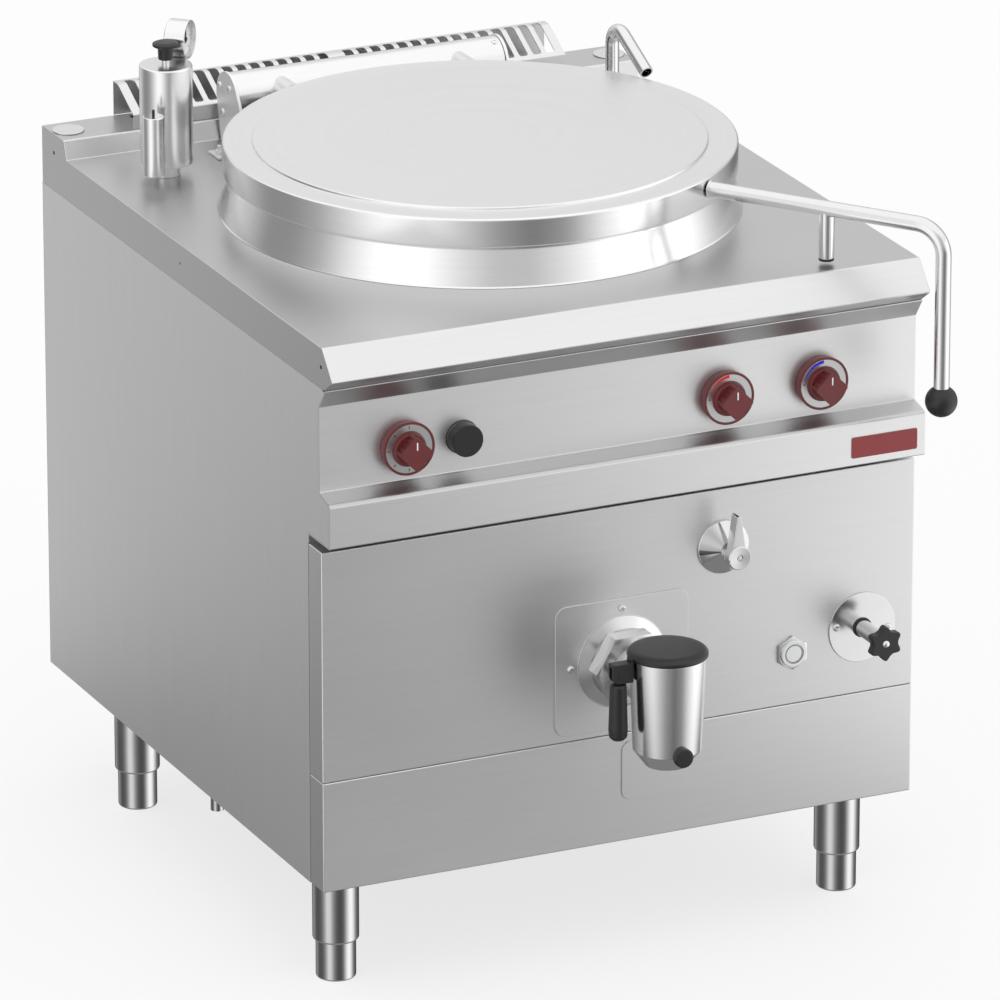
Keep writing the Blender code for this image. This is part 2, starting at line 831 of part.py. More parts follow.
# Front and kick panels: trays open to the back.
front_panel = open_box(
    "front_panel", (-HALF, PANEL_D, PANEL_SPLIT_Z), (HALF, RETURN_D, PANEL_TOP_Z), (0, 1, 0), "brushed",
)
open_box(
    "kick_panel", (-HALF, PANEL_D, BASE_Z), (HALF, RETURN_D, PANEL_SPLIT_Z - SEAM), (0, 1, 0), "brushed",
)
for name, x, z, radius in (
    ("drain_hole", 0, DRAIN_Z, DRAIN_R + GAP), ("lever_hole", LEVER_X, LEVER_Z, LEVER_NECK_R + GAP),
    ("button_hole", BUTTON_X, BUTTON_Z, BUTTON_BODY_R + GAP), ("stem_hole", STAR_X, STAR_Z, STEM_R + GAP),
):
    cut(front_panel, tool(name, rod_mesh(name, radius, -CUT, CUT), (x, PANEL_D, z), TURN_TO_FRONT))

cover = flat(
    "inspection_cover", rounded_rectangle(COVER_WIDTH, COVER_HEIGHT, COVER_R), THIN_SHEET, "brushed",
    (COVER_X, PANEL_D - GAP - THIN_SHEET / 2, COVER_Z + COVER_HEIGHT / 2), TURN_TO_FRONT,
)

# Base frame: rails, posts, bearers and leg gussets welded together.
FRAME_X = HALF - SHEET - GAP
FRAME_FRONT = RETURN_D + GAP
FRAME_BACK = DEPTH - SHEET - GAP
POST_TOP = TOP_Z - SHEET - GAP
FRAME_Z = BASE_Z + GAP
beams = [((-FRAME_X, FRAME_FRONT, FRAME_Z), (-FRAME_X + RAIL, FRAME_BACK, FRAME_Z + RAIL))]
beams.append(((FRAME_X - RAIL, FRAME_FRONT, FRAME_Z), (FRAME_X, FRAME_BACK, FRAME_Z + RAIL)))
for side in (-FRAME_X, FRAME_X - RAIL):
    for front in (FRAME_FRONT, FRAME_BACK - RAIL):
        beams.append(((side, front, FRAME_Z), (side + RAIL, front + RAIL, POST_TOP)))
    beams.append(((side, FRAME_FRONT, POST_TOP - RAIL), (side + RAIL, FRAME_BACK, POST_TOP)))
for front in (FRAME_FRONT, *BEARER_DS, FRAME_BACK - RAIL):
    beams.append(((-FRAME_X, front, FRAME_Z), (FRAME_X, front + RAIL, FRAME_Z + RAIL)))
beams.append(((-FRAME_X, FRAME_FRONT, BAND_Z), (FRAME_X, FRAME_FRONT + MID_RAIL, BAND_Z + MID_RAIL)))
for x in (-LEG_X, LEG_X):
    for d in (LEG_FRONT, LEG_REAR):
        beams.append((
            (x - GUSSET / 2, d - GUSSET / 2, FRAME_Z),
            (x + GUSSET / 2 if x < 0 else FRAME_X, d + GUSSET / 2, FRAME_Z + GUSSET_T),
        ))
beams = [((max(low[0], -FRAME_X), low[1], low[2]), high) for low, high in beams]
base_frame = place("base_frame", box_mesh("base_frame", *beams[0]), "frame")
for number, (low, high) in enumerate(beams[1:]):
    fuse(base_frame, tool("beam_%02d" % number, box_mesh("beam", low, high)))

# Legs: welded sleeves and feet that screw up and down inside them.
SLEEVE_TOP = FRAME_Z + GUSSET_T / 2
sleeve_profile = [(FOOT_R + GAP, SLEEVE_TOP), (SLEEVE_R, SLEEVE_TOP), (SLEEVE_R, SLEEVE_Z + SLEEVE_ROUND)]
sleeve_profile += [
    (FOOT_R + GAP + (SLEEVE_R - FOOT_R - GAP) * cos(a), SLEEVE_Z + SLEEVE_ROUND * (1 - sin(a)))
    for a in (radians(45), radians(90))
]
LEGS = {
    "foot_front_left": (-LEG_X, LEG_FRONT), "foot_front_right": (LEG_X, LEG_FRONT),
    "foot_rear_left": (-LEG_X, LEG_REAR), "foot_rear_right": (LEG_X, LEG_REAR),
}
for name, (x, d) in LEGS.items():
    sleeve = turned_mesh("sleeve_" + name, sleeve_profile, MID_STEPS, closed=True)
    fuse(base_frame, tool("sleeve_" + name, sleeve, (x, d, 0)))
foot_profile = [(0, FOOT_TOP_Z), (FOOT_R, FOOT_TOP_Z)]
foot_profile += arc((FOOT_R - FOOT_ROUND, FOOT_ROUND), FOOT_ROUND, 0, -pi / 2, 3) + [(0, 0)]
for name, (x, d) in LEGS.items():
    place(name, turned_mesh(name, foot_profile, MID_STEPS), "polished", (x, d, 0))

# Bowl: the food side and the flared collar are one pressed sheet.
RIM_HALF = (NECK_R - BOWL_R) / 2
bowl_profile = [(0, BOWL_BOTTOM_Z)]
bowl_profile += arc((BOWL_R - BOWL_CORNER, BOWL_BOTTOM_Z + BOWL_CORNER), BOWL_CORNER, -pi / 2, 0, 2)
bowl_profile += arc((BOWL_R + RIM_HALF, RIM_Z - RIM_HALF), RIM_HALF, pi, 0, 4)
FLARE_DEPTH = FLARE_R - NECK_R
flare_top = NECK_Z - LID_EDGE
flare_drop = flare_top - TOP_Z - FLARE_LIP - GAP
bowl_profile += [
    (NECK_R + FLARE_DEPTH * (1 - cos(a)), flare_top - flare_drop * sin(a))
    for a in (0, radians(30), radians(60), radians(90))
]
bowl_profile += [(FLARE_R, TOP_Z + GAP)]
vessel = place(
    "vessel", turned_mesh("vessel", bowl_profile, BIG_STEPS, shell=SHELL), "polished", (0, BOWL_D, 0),
)
drain_axis = (0, PANEL_D, DRAIN_Z)
PIPE_BACK = -(BOWL_D - BOWL_R - PANEL_D)
cut(
    vessel,
    tool(
        "drain_bore_bowl", rod_mesh("drain_bore_bowl", DRAIN_BORE_R, PIPE_BACK - CUT * 3, PIPE_BACK + CUT),
        drain_axis, TURN_TO_FRONT,
    ),
)

# Steam jacket round the bowl, insulation round the jacket.
jacket_profile = [(BOWL_R + SHELL + GAP * 2, JACKET_TOP_Z), (JACKET_R, JACKET_TOP_Z)]
jacket_profile += arc(
    (JACKET_R - JACKET_CORNER, JACKET_BOTTOM_Z + JACKET_CORNER), JACKET_CORNER, 0, -pi / 2, 3,
)
jacket_profile += [(0, JACKET_BOTTOM_Z)]
jacket = place(
    "steam_jacket", turned_mesh("steam_jacket", jacket_profile, BIG_STEPS, shell=SHELL), "brushed",
    (0, BOWL_D, 0),
)
wool_in = JACKET_R + GAP
wool_profile = [
    (wool_in, INSULATION_TOP_Z), (wool_in + INSULATION_T, INSULATION_TOP_Z),
    (wool_in + INSULATION_T, INSULATION_Z), (wool_in, INSULATION_Z),
]
insulation = place(
    "insulation", turned_mesh("insulation", wool_profile, BIG_STEPS, closed=True), "wool", (0, BOWL_D, 0),
)
for thing, name in ((jacket, "drain_bore_jacket"), (insulation, "drain_bore_wool")):
    cut(thing, tool(name, rod_mesh(name, DRAIN_R + GAP, PIPE_BACK - CUT, CUT), drain_axis, TURN_TO_FRONT))

# Fire box under the jacket with a channel and a duct up to the grille.
BOX_Z = FRAME_Z + RAIL + GAP
BOX_TOP = JACKET_BOTTOM_Z - GAP
BOX_D = BOWL_D - FIREBOX_DEPTH / 2
DUCT_TOP = RISE_Z - SHEET - GAP
WALL = FIREBOX_WALL
hollows = (
    (
        "fire_box", (-FIREBOX_WIDTH / 2, BOX_D, BOX_Z), (FIREBOX_WIDTH / 2, BOX_D + FIREBOX_DEPTH, BOX_TOP),
        CUT,
    ),
    ("duct", (-DUCT_WIDTH / 2, DUCT_D, DUCT_Z), (DUCT_WIDTH / 2, DUCT_D + DUCT_DEPTH, DUCT_TOP), CUT),
    (
        "channel", (-DUCT_WIDTH / 2, BOX_D + FIREBOX_DEPTH / 2, DUCT_Z),
        (DUCT_WIDTH / 2, DUCT_D + CUT, DUCT_Z + CHANNEL_HEIGHT), -WALL,
    ),
)
flue = place("flue", box_mesh("flue", hollows[0][1], hollows[0][2]), "frame")
for name, low, high, rise in hollows[1:]:
    fuse(flue, tool(name, box_mesh(name, low, high)))
for name, low, high, rise in hollows:
    inner_low = Vector(low) + Vector((WALL, WALL, WALL))
    inner_high = Vector((high[0] - WALL, high[1] - WALL, high[2] + rise))
    if name == "channel":
        inner_high.y = high[1]
    cut(flue, tool(name + "_inside", box_mesh(name + "_inside", inner_low, inner_high)))

# Ring burner on a cross bar that rests between the walls of the fire box.
bpy.ops.mesh.primitive_torus_add(
    major_radius=BURNER_R, minor_radius=BURNER_TUBE_R, major_segments=MID_STEPS, minor_segments=8,
)
ring = bpy.context.object
ring_mesh = ring.data
bpy.data.objects.remove(ring, do_unlink=True)
burner = place("burner", smooth(ring_mesh), "frame", (0, BOWL_D, BURNER_Z))
bar_x = FIREBOX_WIDTH / 2 - WALL - GAP
fuse(burner, tool("burner_bar", box_mesh(
    "burner_bar", (
        -bar_x, BOWL_D - BURNER_BAR / 2, BURNER_Z - BURNER_BAR,
    ), (bar_x, BOWL_D + BURNER_BAR / 2, BURNER_Z),
)))

# Flue grille: a bent sheet with two rows of slots over its upper bend.
grille_z = RISE_Z + GAP
grille_path = fillet(
    [
        (GRILLE_FRONT, grille_z), (GRILLE_FRONT, GRILLE_LIP_Z), (DEPTH - GAP, GRILLE_PEAK_Z),
        (DEPTH - GAP, grille_z),
    ],
    [GRILLE_LIP_R, GRILLE_BEND_R], steps=3,
)
grille = place("flue_grille", swept_mesh("flue_grille", grille_path, -GRILLE_HALF, GRILLE_HALF), "brushed")
thicken(grille, THIN_SHEET)
slots = bmesh.new()
for number in range(SLOT_COUNT):
    for side in (-1, 1):
        x = side * (SLOT_MARGIN + number * SLOT_PITCH)
        slot = box_mesh(
            "slot", (x - SLOT_WIDTH / 2, GRILLE_FRONT + SLOT_FRONT, GRILLE_LIP_Z),
            (x + SLOT_WIDTH / 2, DEPTH - SLOT_BACK, GRILLE_PEAK_Z + CUT),
        )
        slots.from_mesh(slot)
cut(grille, tool("grille_slots", to_mesh("grille_slots", slots)))

cap_profile = [(0, CAP_T), (CAP_R - CAP_T / 2, CAP_T), (CAP_R, CAP_T / 2), (CAP_R, 0), (0, 0)]
for name, side in (("rise_cap_left", -1), ("rise_cap_right", 1)):
    place(name, turned_mesh(name, cap_profile, MID_STEPS), "brushed", (side * CAP_X, CAP_D, RISE_Z + GAP))

# Lid: double step pressed in one sheet, with a deep skirt.
LID_ORIGIN = Vector((0, PIVOT_D, PIVOT_Z))
lid_profile = [(0, LID_DISC_Z + LID_CROWN), (LID_DISC_R / 2, LID_DISC_Z + LID_CROWN * 0.75)]
lid_profile += [
    (LID_DISC_R - LID_EDGE, LID_DISC_Z), (LID_DISC_R - LID_EDGE / 3, LID_DISC_Z - LID_CROWN / 3),
    (LID_DISC_R, LID_FLANGE_Z),
]
lid_profile += arc((LID_R - LID_EDGE, LID_FLANGE_Z - LID_EDGE), LID_EDGE, pi / 2, 0, 3)
lid_profile += [(LID_R, LID_SKIRT_Z)]
lid_mesh = turned_mesh("lid", lid_profile, BIG_STEPS, shell=LID_SHEET)
lid_mesh.transform(Matrix.Translation((0, BOWL_D - PIVOT_D, -PIVOT_Z)))
place("lid", lid_mesh, "polished", LID_ORIGIN)
seal_r = BOWL_R + RIM_HALF
seal_top = LID_FLANGE_Z - LID_SHEET - GAP
seal_profile = [
    (seal_r - GASKET_T / 2, seal_top), (seal_r + GASKET_T / 2, seal_top),
    (seal_r + GASKET_T / 2, RIM_Z + GAP * 2), (seal_r - GASKET_T / 2, RIM_Z + GAP * 2),
]
seal = turned_mesh("lid_gasket", seal_profile, BIG_STEPS, closed=True)
seal.transform(Matrix.Translation((0, BOWL_D - PIVOT_D, -PIVOT_Z)))
place("lid_gasket", seal, "rubber", LID_ORIGIN)

# Lid handle: a bent tube with the stop post welded under it.
root = Vector((HANDLE_ROOT_X, HANDLE_ROOT_D, HANDLE_Z))
corner = Vector((HANDLE_END_X, HANDLE_END_D, HANDLE_Z))
foot = Vector((HANDLE_END_X, HANDLE_END_D, BALL_Z + BALL_R - BALL_SOCKET))
handle = pipe("lid_handle", fillet([root, corner, foot], [HANDLE_BEND], steps=8), HANDLE_R, "polished", 4)
fuse(
    handle,
    tool("stop_post", rod_mesh("stop_post", STOP_R, STOP_Z, HANDLE_Z, SMALL_STEPS), (STOP_X, STOP_D, 0)),
)
ball_profile = [(0, BALL_R - BALL_SOCKET - GAP), (HANDLE_R + GAP, BALL_R - BALL_SOCKET - GAP)]
ball_start = atan2((BALL_R ** 2 - (HANDLE_R + GAP) ** 2) ** 0.5, HANDLE_R + GAP)
ball_profile += arc((0, 0), BALL_R, ball_start, radians(-70), 7) + [(0, -BALL_R)]
place(
    "handle_ball", turned_mesh("handle_ball", ball_profile, MID_STEPS), "black",
    (HANDLE_END_X, HANDLE_END_D, BALL_Z),
)
place(
    "stop_tip", rod_mesh("stop_tip", STOP_R, TOP_Z + STOP_CLEARANCE, STOP_Z - GAP, SMALL_STEPS), "rubber",
    (STOP_X, STOP_D, 0),
)

# Lid hinge: the tube and its arms turn with the lid on a fixed shaft.
TUBE_X = HINGE_HALF - PLATE_T - GAP
inner_r = HINGE_TUBE_R - HINGE_TUBE_WALL
bore_r = SHAFT_R + GAP
tube_profile = [
    (bore_r, TUBE_X), (HINGE_TUBE_R, TUBE_X), (HINGE_TUBE_R, -TUBE_X), (bore_r, -TUBE_X),
    (bore_r, -TUBE_X + BUSH_T), (
        inner_r, -TUBE_X + BUSH_T,
    ), (inner_r, TUBE_X - BUSH_T), (bore_r, TUBE_X - BUSH_T),
]
hinge_tube = place(
    "hinge_tube", turned_mesh("hinge_tube", tube_profile, MID_STEPS, closed=True), "brushed", LID_ORIGIN,
    TURN_TO_SIDE,
)
for number, x in enumerate((-ARM_X, ARM_X)):
    arm = tool(
        "arm_%d" % number,
        rod_mesh("arm", ARM_R, -(PIVOT_D - BOWL_D - LID_R / 2), HINGE_TUBE_WALL - inner_r, SMALL_STEPS),
        (x, PIVOT_D, ARM_Z), (-pi / 2, 0, 0),
    )
    fuse(hinge_tube, arm)
cut(
    hinge_tube,
    tool(
        "lid_clearance",
        rod_mesh("lid_clearance", LID_R + GAP, LID_SKIRT_Z - CUT, LID_FLANGE_Z + CUT, BIG_STEPS * 2),
        (0, BOWL_D, 0),
    ),
)
place(
    "hinge_shaft", rod_mesh("hinge_shaft", SHAFT_R, -TUBE_X, TUBE_X, SMALL_STEPS), "frame", LID_ORIGIN,
    TURN_TO_SIDE,
)

plate_foot = TOP_Z + GAP
plate_outline = [(PIVOT_D + PLATE_FOOT_REAR, plate_foot)]
plate_outline += arc((PIVOT_D, PIVOT_Z), PLATE_R, radians(-15), radians(150), 12)
plate_outline += [
    (PIVOT_D - PLATE_KNEE_D, PIVOT_Z - PLATE_KNEE_Z), (PIVOT_D - PLATE_FOOT_FRONT, plate_foot),
]
head_profile = [(0, HEAD_H), (HEAD_R * 0.75, HEAD_H * 0.75), (HEAD_R, -HEAD_H / 5), (0, -HEAD_H / 5)]
head = turned_mesh("screw_head", head_profile, SCREW_STEPS)
for name, side in (("hinge_plate_left", -1), ("hinge_plate_right", 1)):
    plate = flat(
        name, plate_outline, PLATE_T, "brushed", (side * (HINGE_HALF - PLATE_T / 2), 0, 0),
        (pi / 2, 0, pi / 2),
    )
    low_x, high_x = sorted((side * (HINGE_HALF - PLATE_T), side * (HINGE_HALF + PLATE_FLANGE)))
    fuse(plate, tool(name + "_flange", box_mesh(
        name, (low_x, PLATE_FLANGE_D, plate_foot),
        (high_x, PLATE_FLANGE_D + PLATE_FLANGE_DEPTH, plate_foot + PLATE_FLANGE_T),
    )))
    outward = Matrix.Rotation(side * pi / 2, 4, "Y")
    for number, (d, z) in enumerate(BOLT_OFFSETS):
        spot = Matrix.Translation((side * HINGE_HALF, PIVOT_D + d, PIVOT_Z + z))
        head_at(plate, name + "_bolt_%d" % number, head, spot @ outward)
    spot = Matrix.Translation((
        side * (
            HINGE_HALF + PLATE_FLANGE * STUD_SHARE
        ), PLATE_FLANGE_D + PLATE_FLANGE_DEPTH / 2, plate_foot + PLATE_FLANGE_T,
    ))
    head_at(plate, name + "_stud", head, spot @ Matrix.Diagonal((1, 1, STUD_H / HEAD_H, 1)))

coil_r = SHAFT_R + GAP * 2 + SPRING_WIRE_R
turns = SPRING_TURNS * 10
coil = [
    (
        SPRING_X + SPRING_PITCH * i / 10, PIVOT_D + coil_r * cos(i * pi / 5),
        PIVOT_Z + coil_r * sin(i * pi / 5),
    )
    for i in range(turns + 1)
]
pipe("hinge_spring", coil, SPRING_WIRE_R, "frame", 0)

# Safety valve: flanged neck, tall drum, spindle; the gauge sits in a saddle in its shoulder.
valve_profile = [(0, PULL_STEM_TOP_Z), (PULL_STEM_R, PULL_STEM_TOP_Z), (PULL_STEM_R, VALVE_TOP_Z)]
valve_profile += arc((VALVE_R - VALVE_ROUND, VALVE_TOP_Z - VALVE_ROUND), VALVE_ROUND, pi / 2, 0, 3)
valve_profile += arc((VALVE_R - VALVE_ROUND, VALVE_Z + VALVE_ROUND), VALVE_ROUND, 0, -pi / 2, 3)
valve_profile += [
    (VALVE_NECK_R, VALVE_Z), (VALVE_NECK_R, TOP_Z + VALVE_FLANGE_T), (
        VALVE_FLANGE_R, TOP_Z + VALVE_FLANGE_T,
    ),
    (VALVE_FLANGE_R, TOP_Z + GAP), (0, TOP_Z + GAP),
]
safety_valve = place(
    "safety_valve", turned_mesh("safety_valve", valve_profile, MID_STEPS), "polished",
    (VALVE_X, VALVE_D, 0),
)
gauge_turn = (pi / 2, 0, GAUGE_TURN)
gauge_at = (GAUGE_X, GAUGE_D, GAUGE_Z)
cut(
    safety_valve,
    tool(
        "gauge_saddle",
        rod_mesh(
            "gauge_saddle", GAUGE_R + GAP, -GAUGE_DEPTH / 2 - GAP, GAUGE_DEPTH / 2 + VALVE_R, MID_STEPS,
        ),
        gauge_at, gauge_turn,
    ),
)
pull_in = PULL_STEM_R + GAP
pull_profile = [
    (0, PULL_TOP_Z), (PULL_R * 0.7, PULL_TOP_Z - GAP * 3), (PULL_R, (PULL_TOP_Z + PULL_RIM_Z) / 2 + GAP),
]
pull_profile += [
    (PULL_R * 0.96, PULL_RIM_Z), (PULL_HUB_R, PULL_RIM_Z - PULL_STEM_R / 2), (PULL_HUB_R, PULL_Z),
    (pull_in, PULL_Z), (pull_in, PULL_STEM_TOP_Z + GAP), (0, PULL_STEM_TOP_Z + GAP),
]
place(
    "safety_valve_knob", turned_mesh("safety_valve_knob", pull_profile, MID_STEPS), "black",
    (VALVE_X, VALVE_D, 0),
)

front = GAUGE_DEPTH / 2
case_profile = [
    (0, front - GAUGE_RECESS), (GAUGE_R - GAUGE_RIM, front - GAUGE_RECESS), (GAUGE_R - GAUGE_RIM, front),
    (GAUGE_R, front), (GAUGE_R, -front), (0, -front),
]
place("gauge_case", turned_mesh("gauge_case", case_profile, MID_STEPS), "polished", gauge_at, gauge_turn)
needle_z = front - GAUGE_RECESS + GAP
needle = place("gauge_needle", box_mesh(
    "gauge_needle", (-NEEDLE_WIDTH / 2, -NEEDLE_TAIL, needle_z), (
        NEEDLE_WIDTH / 2, NEEDLE_LENGTH, needle_z + NEEDLE_T,
    ),
), "black", gauge_at, gauge_turn)
fuse(
    needle,
    tool(
        "needle_hub", rod_mesh("needle_hub", NEEDLE_HUB_R, needle_z, needle_z + NEEDLE_T * 2, SMALL_STEPS),
        gauge_at, gauge_turn,
    ),
)

# Vacuum valve with its nipple pointing at the safety valve.
vacuum_profile = [
    (0, VACUUM_TOP_Z), (VACUUM_R - VALVE_ROUND / 2, VACUUM_TOP_Z),
    (VACUUM_R, VACUUM_TOP_Z - VALVE_ROUND / 2),
]
vacuum_profile += [(VACUUM_R, VACUUM_Z), (VACUUM_NECK_R, VACUUM_Z)]
vacuum_profile += [(VACUUM_NECK_R, VACUUM_Z - VACUUM_FOOT), (0, VACUUM_Z - VACUUM_FOOT)]
vacuum = place(
    "vacuum_valve", turned_mesh("vacuum_valve", vacuum_profile, SMALL_STEPS), "polished",
    (VACUUM_X, VACUUM_D, 0),
)
between = hypot(VALVE_X - VACUUM_X, VALVE_D - VACUUM_D)
heading = atan2(VALVE_D - VACUUM_D, VALVE_X - VACUUM_X)
nipple = rod_mesh("nipple", NIPPLE_TIP_R, 0, between - VALVE_R - GAP * 2, SMALL_STEPS, NIPPLE_R)
fuse(vacuum, tool("nipple", nipple, (VACUUM_X, VACUUM_D, NIPPLE_Z), (0, pi / 2, heading)))
cut(
    vacuum,
    tool(
        "pin_bore", rod_mesh("pin_bore", PIN_R + GAP, VACUUM_TOP_Z - PIN_DEPTH, VACUUM_TOP_Z + CUT, 12),
        (VACUUM_X, VACUUM_D, 0),
    ),
)
place(
    "vacuum_valve_pin", rod_mesh("vacuum_valve_pin", PIN_R, GAP - PIN_DEPTH, PIN_HEIGHT, 12), "black",
    (VACUUM_X, VACUUM_D, VACUUM_TOP_Z),
)

# Water spout: swivels in a flanged base.
spout_base_z = TOP_Z + GAP
nut_top = spout_base_z + SPOUT_FLANGE_T + SPOUT_NUT_T
spout_base = place(
    "spout_base", rod_mesh("spout_base", SPOUT_FLANGE_R, spout_base_z, spout_base_z + SPOUT_FLANGE_T),
    "polished", (SPOUT_X, SPOUT_D, 0),
)
fuse(
    spout_base,
    tool("spout_nut", hexagon_mesh("spout_nut", SPOUT_NUT, spout_base_z, nut_top), (SPOUT_X, SPOUT_D, 0)),
)
cut(
    spout_base,
    tool(
        "spout_socket",
        rod_mesh("spout_socket", SPOUT_R + GAP, spout_base_z + SPOUT_FLANGE_T / 2, nut_top + CUT),
        (SPOUT_X, SPOUT_D, 0),
    ),
)
peak = Vector((SPOUT_X, SPOUT_D, SPOUT_PEAK_Z))
mouth = Vector(SPOUT_END)
spout_foot = Vector((SPOUT_X, SPOUT_D, spout_base_z + SPOUT_FLANGE_T / 2 + GAP))
spout = pipe("spout", fillet([spout_foot, peak, mouth], [SPOUT_BEND], steps=8), SPOUT_R, "polished", 4)
slope = (mouth - peak).to_track_quat("Z", "Y").to_euler()
cut(
    spout,
    tool(
        "spout_bore", rod_mesh("spout_bore", SPOUT_BORE_R, -SPOUT_BORE_DEPTH, CUT, SMALL_STEPS), mouth,
        slope,
    ),
)

# Control knobs: dial skirt, collar and a square grip standing on its corner.
knob_start = GAP * 2
knob_profile = [
    (0, KNOB_COLLAR_H), (KNOB_COLLAR_R * 0.8, KNOB_COLLAR_H), (KNOB_COLLAR_R, KNOB_RING_H + GAP * 4),
]
knob_profile += [
    (KNOB_COLLAR_R, KNOB_RING_H), (KNOB_FACE_R, KNOB_RING_H), (KNOB_FACE_R + GAP, KNOB_RING_H + GAP * 2),
    (KNOB_R - GAP * 2, KNOB_RING_H + GAP * 2),
]
knob_profile += [(KNOB_R, KNOB_RING_H - GAP * 3), (KNOB_BASE_R, knob_start), (0, knob_start)]
grip_steps = rounded_rectangle(KNOB_GRIP, KNOB_GRIP, KNOB_GRIP_R, 3)
for name, x in zip(KNOB_NAMES, KNOB_XS):
    at = (x, FACE_D, KNOB_Z)
    knob = place(name, turned_mesh(name, knob_profile, MID_STEPS), "red", at, TURN_TO_FRONT)
    grip = flat(name + "_grip", grip_steps, KNOB_GRIP_H - KNOB_RING_H, None, collection=CUTTERS)
    work = bmesh.new()
    work.from_mesh(grip.data)
    for vert in work.verts:
        if vert.co.z > 0:
            vert.co.x *= KNOB_TAPER_SHARE
            vert.co.y *= KNOB_TAPER_SHARE
    bmesh.ops.rotate(work, verts=work.verts, matrix=Matrix.Rotation(pi / 4, 3, "Z"))
    bmesh.ops.translate(work, verts=work.verts, vec=(0, 0, (KNOB_GRIP_H + KNOB_RING_H) / 2))
    bpy.data.objects.remove(grip, do_unlink=True)
    fuse(knob, tool(name + "_grip", to_mesh(name + "_grip", work), at, TURN_TO_FRONT))
    cut(
        knob,
        tool(
            name + "_bore", rod_mesh(name + "_bore", SPINDLE_R + GAP, -CUT, SPINDLE_H + GAP, 16), at,
            TURN_TO_FRONT,
        ),
    )

igniter_at = (IGNITER_X, FACE_D, KNOB_Z)
button_back = GAP * 2 + IGNITER_TRAVEL
button_profile = [
    (0, IGNITER_H), (IGNITER_R - IGNITER_ROUND, IGNITER_H), (IGNITER_R, IGNITER_H - IGNITER_ROUND),
    (IGNITER_R, button_back),
]
button_profile += [
    (IGNITER_COLLAR_R + GAP, button_back), (IGNITER_COLLAR_R + GAP, IGNITER_COLLAR_H + button_back),
    (0, IGNITER_COLLAR_H + button_back),
]
place(
    "igniter_button", turned_mesh("igniter_button", button_profile, MID_STEPS), "black", igniter_at,
    TURN_TO_FRONT,
)

# Valves behind the control panel, the lever valve behind the front panel, the igniter's switch.
back = -SHEET - GAP
body_profile = [
    (0, SPINDLE_H), (SPINDLE_R, SPINDLE_H), (SPINDLE_R, back), (VALVE_BODY_R, back),
    (VALVE_BODY_R, back - VALVE_BODY_LENGTH), (0, back - VALVE_BODY_LENGTH),
]
switch_profile = [
    (0, IGNITER_COLLAR_H + button_back - IGNITER_TRAVEL - GAP), (
        IGNITER_COLLAR_R, IGNITER_COLLAR_H + button_back - IGNITER_TRAVEL - GAP,
    ),
    (IGNITER_COLLAR_R, GAP), (SPINDLE_R, GAP), (SPINDLE_R, back), (VALVE_BODY_R, back),
    (VALVE_BODY_R, back - VALVE_BODY_LENGTH), (0, back - VALVE_BODY_LENGTH),
]
front_turn = Matrix.Rotation(pi / 2, 4, "X")
burner_at, hot_at, cold_at = [(x, FACE_D, KNOB_Z) for x in KNOB_XS]
joint_h = back - VALVE_BODY_LENGTH / 2
burner_valve = place(
    "burner_valve", turned_mesh("burner_valve", body_profile, SMALL_STEPS), "brass", burner_at,
    TURN_TO_FRONT,
)
fuse(
    burner_valve,
    tool(
        "igniter_switch", turned_mesh("igniter_switch", switch_profile, SMALL_STEPS), igniter_at,
        TURN_TO_FRONT,
    ),
)
fuse(burner_valve, tool("valve_bracket", box_mesh(
    "valve_bracket", (burner_at[0], FACE_D - joint_h, KNOB_Z - VALVE_BODY_R / 2),
    (IGNITER_X, FACE_D - joint_h + PLATE_T, KNOB_Z + VALVE_BODY_R / 2),
)))
water_valves = place(
    "water_valves", turned_mesh("water_valves", body_profile, SMALL_STEPS), "brass", hot_at, TURN_TO_FRONT,
)
fuse(
    water_valves,
    tool("cold_valve", turned_mesh("cold_valve", body_profile, SMALL_STEPS), cold_at, TURN_TO_FRONT),
)
fuse(
    water_valves,
    tool(
        "mixing_pipe", rod_mesh("mixing_pipe", SPOUT_R, hot_at[0], cold_at[0], 16),
        (0, FACE_D - joint_h, KNOB_Z), TURN_TO_SIDE,
    ),
)

# Lever valve.
lever_at = (LEVER_X, PANEL_D, LEVER_Z)
rosette_profile = [
    (0, LEVER_HUB_BACK + CUT), (LEVER_BORE_R - GAP, LEVER_HUB_BACK + CUT), (LEVER_BORE_R - GAP, ROSETTE_H),
    (ROSETTE_TIP_R, ROSETTE_H), (
        ROSETTE_R - GAP * 3, ROSETTE_EDGE,
    ), (ROSETTE_R, ROSETTE_EDGE - GAP * 3), (ROSETTE_R, GAP),
    (LEVER_NECK_R, GAP), (LEVER_NECK_R, back), (VALVE_BODY_R, back), (
        VALVE_BODY_R, back - VALVE_BODY_LENGTH,
    ), (0, back - VALVE_BODY_LENGTH),
]
place(
    "lever_valve_rosette", turned_mesh("lever_valve_rosette", rosette_profile, MID_STEPS), "chrome",
    lever_at, TURN_TO_FRONT,
)
hub_profile = [
    (0, LEVER_HUB_H - LEVER_SCREW_DEPTH), (
        LEVER_SCREW_R, LEVER_HUB_H - LEVER_SCREW_DEPTH,
    ), (LEVER_SCREW_R, LEVER_HUB_H - GAP * 2),
    (LEVER_HUB_R - GAP * 3, LEVER_HUB_H), (LEVER_HUB_R, LEVER_HUB_H - GAP * 3), (LEVER_HUB_R, LEVER_HUB_BACK), (
        LEVER_NECK_R, LEVER_HUB_BACK - CUT / 2,
    ),
    (LEVER_NECK_R, ROSETTE_H + GAP), (LEVER_BORE_R, ROSETTE_H + GAP),
    (LEVER_BORE_R, LEVER_HUB_BACK + CUT + GAP), (0, LEVER_HUB_BACK + CUT + GAP),
]
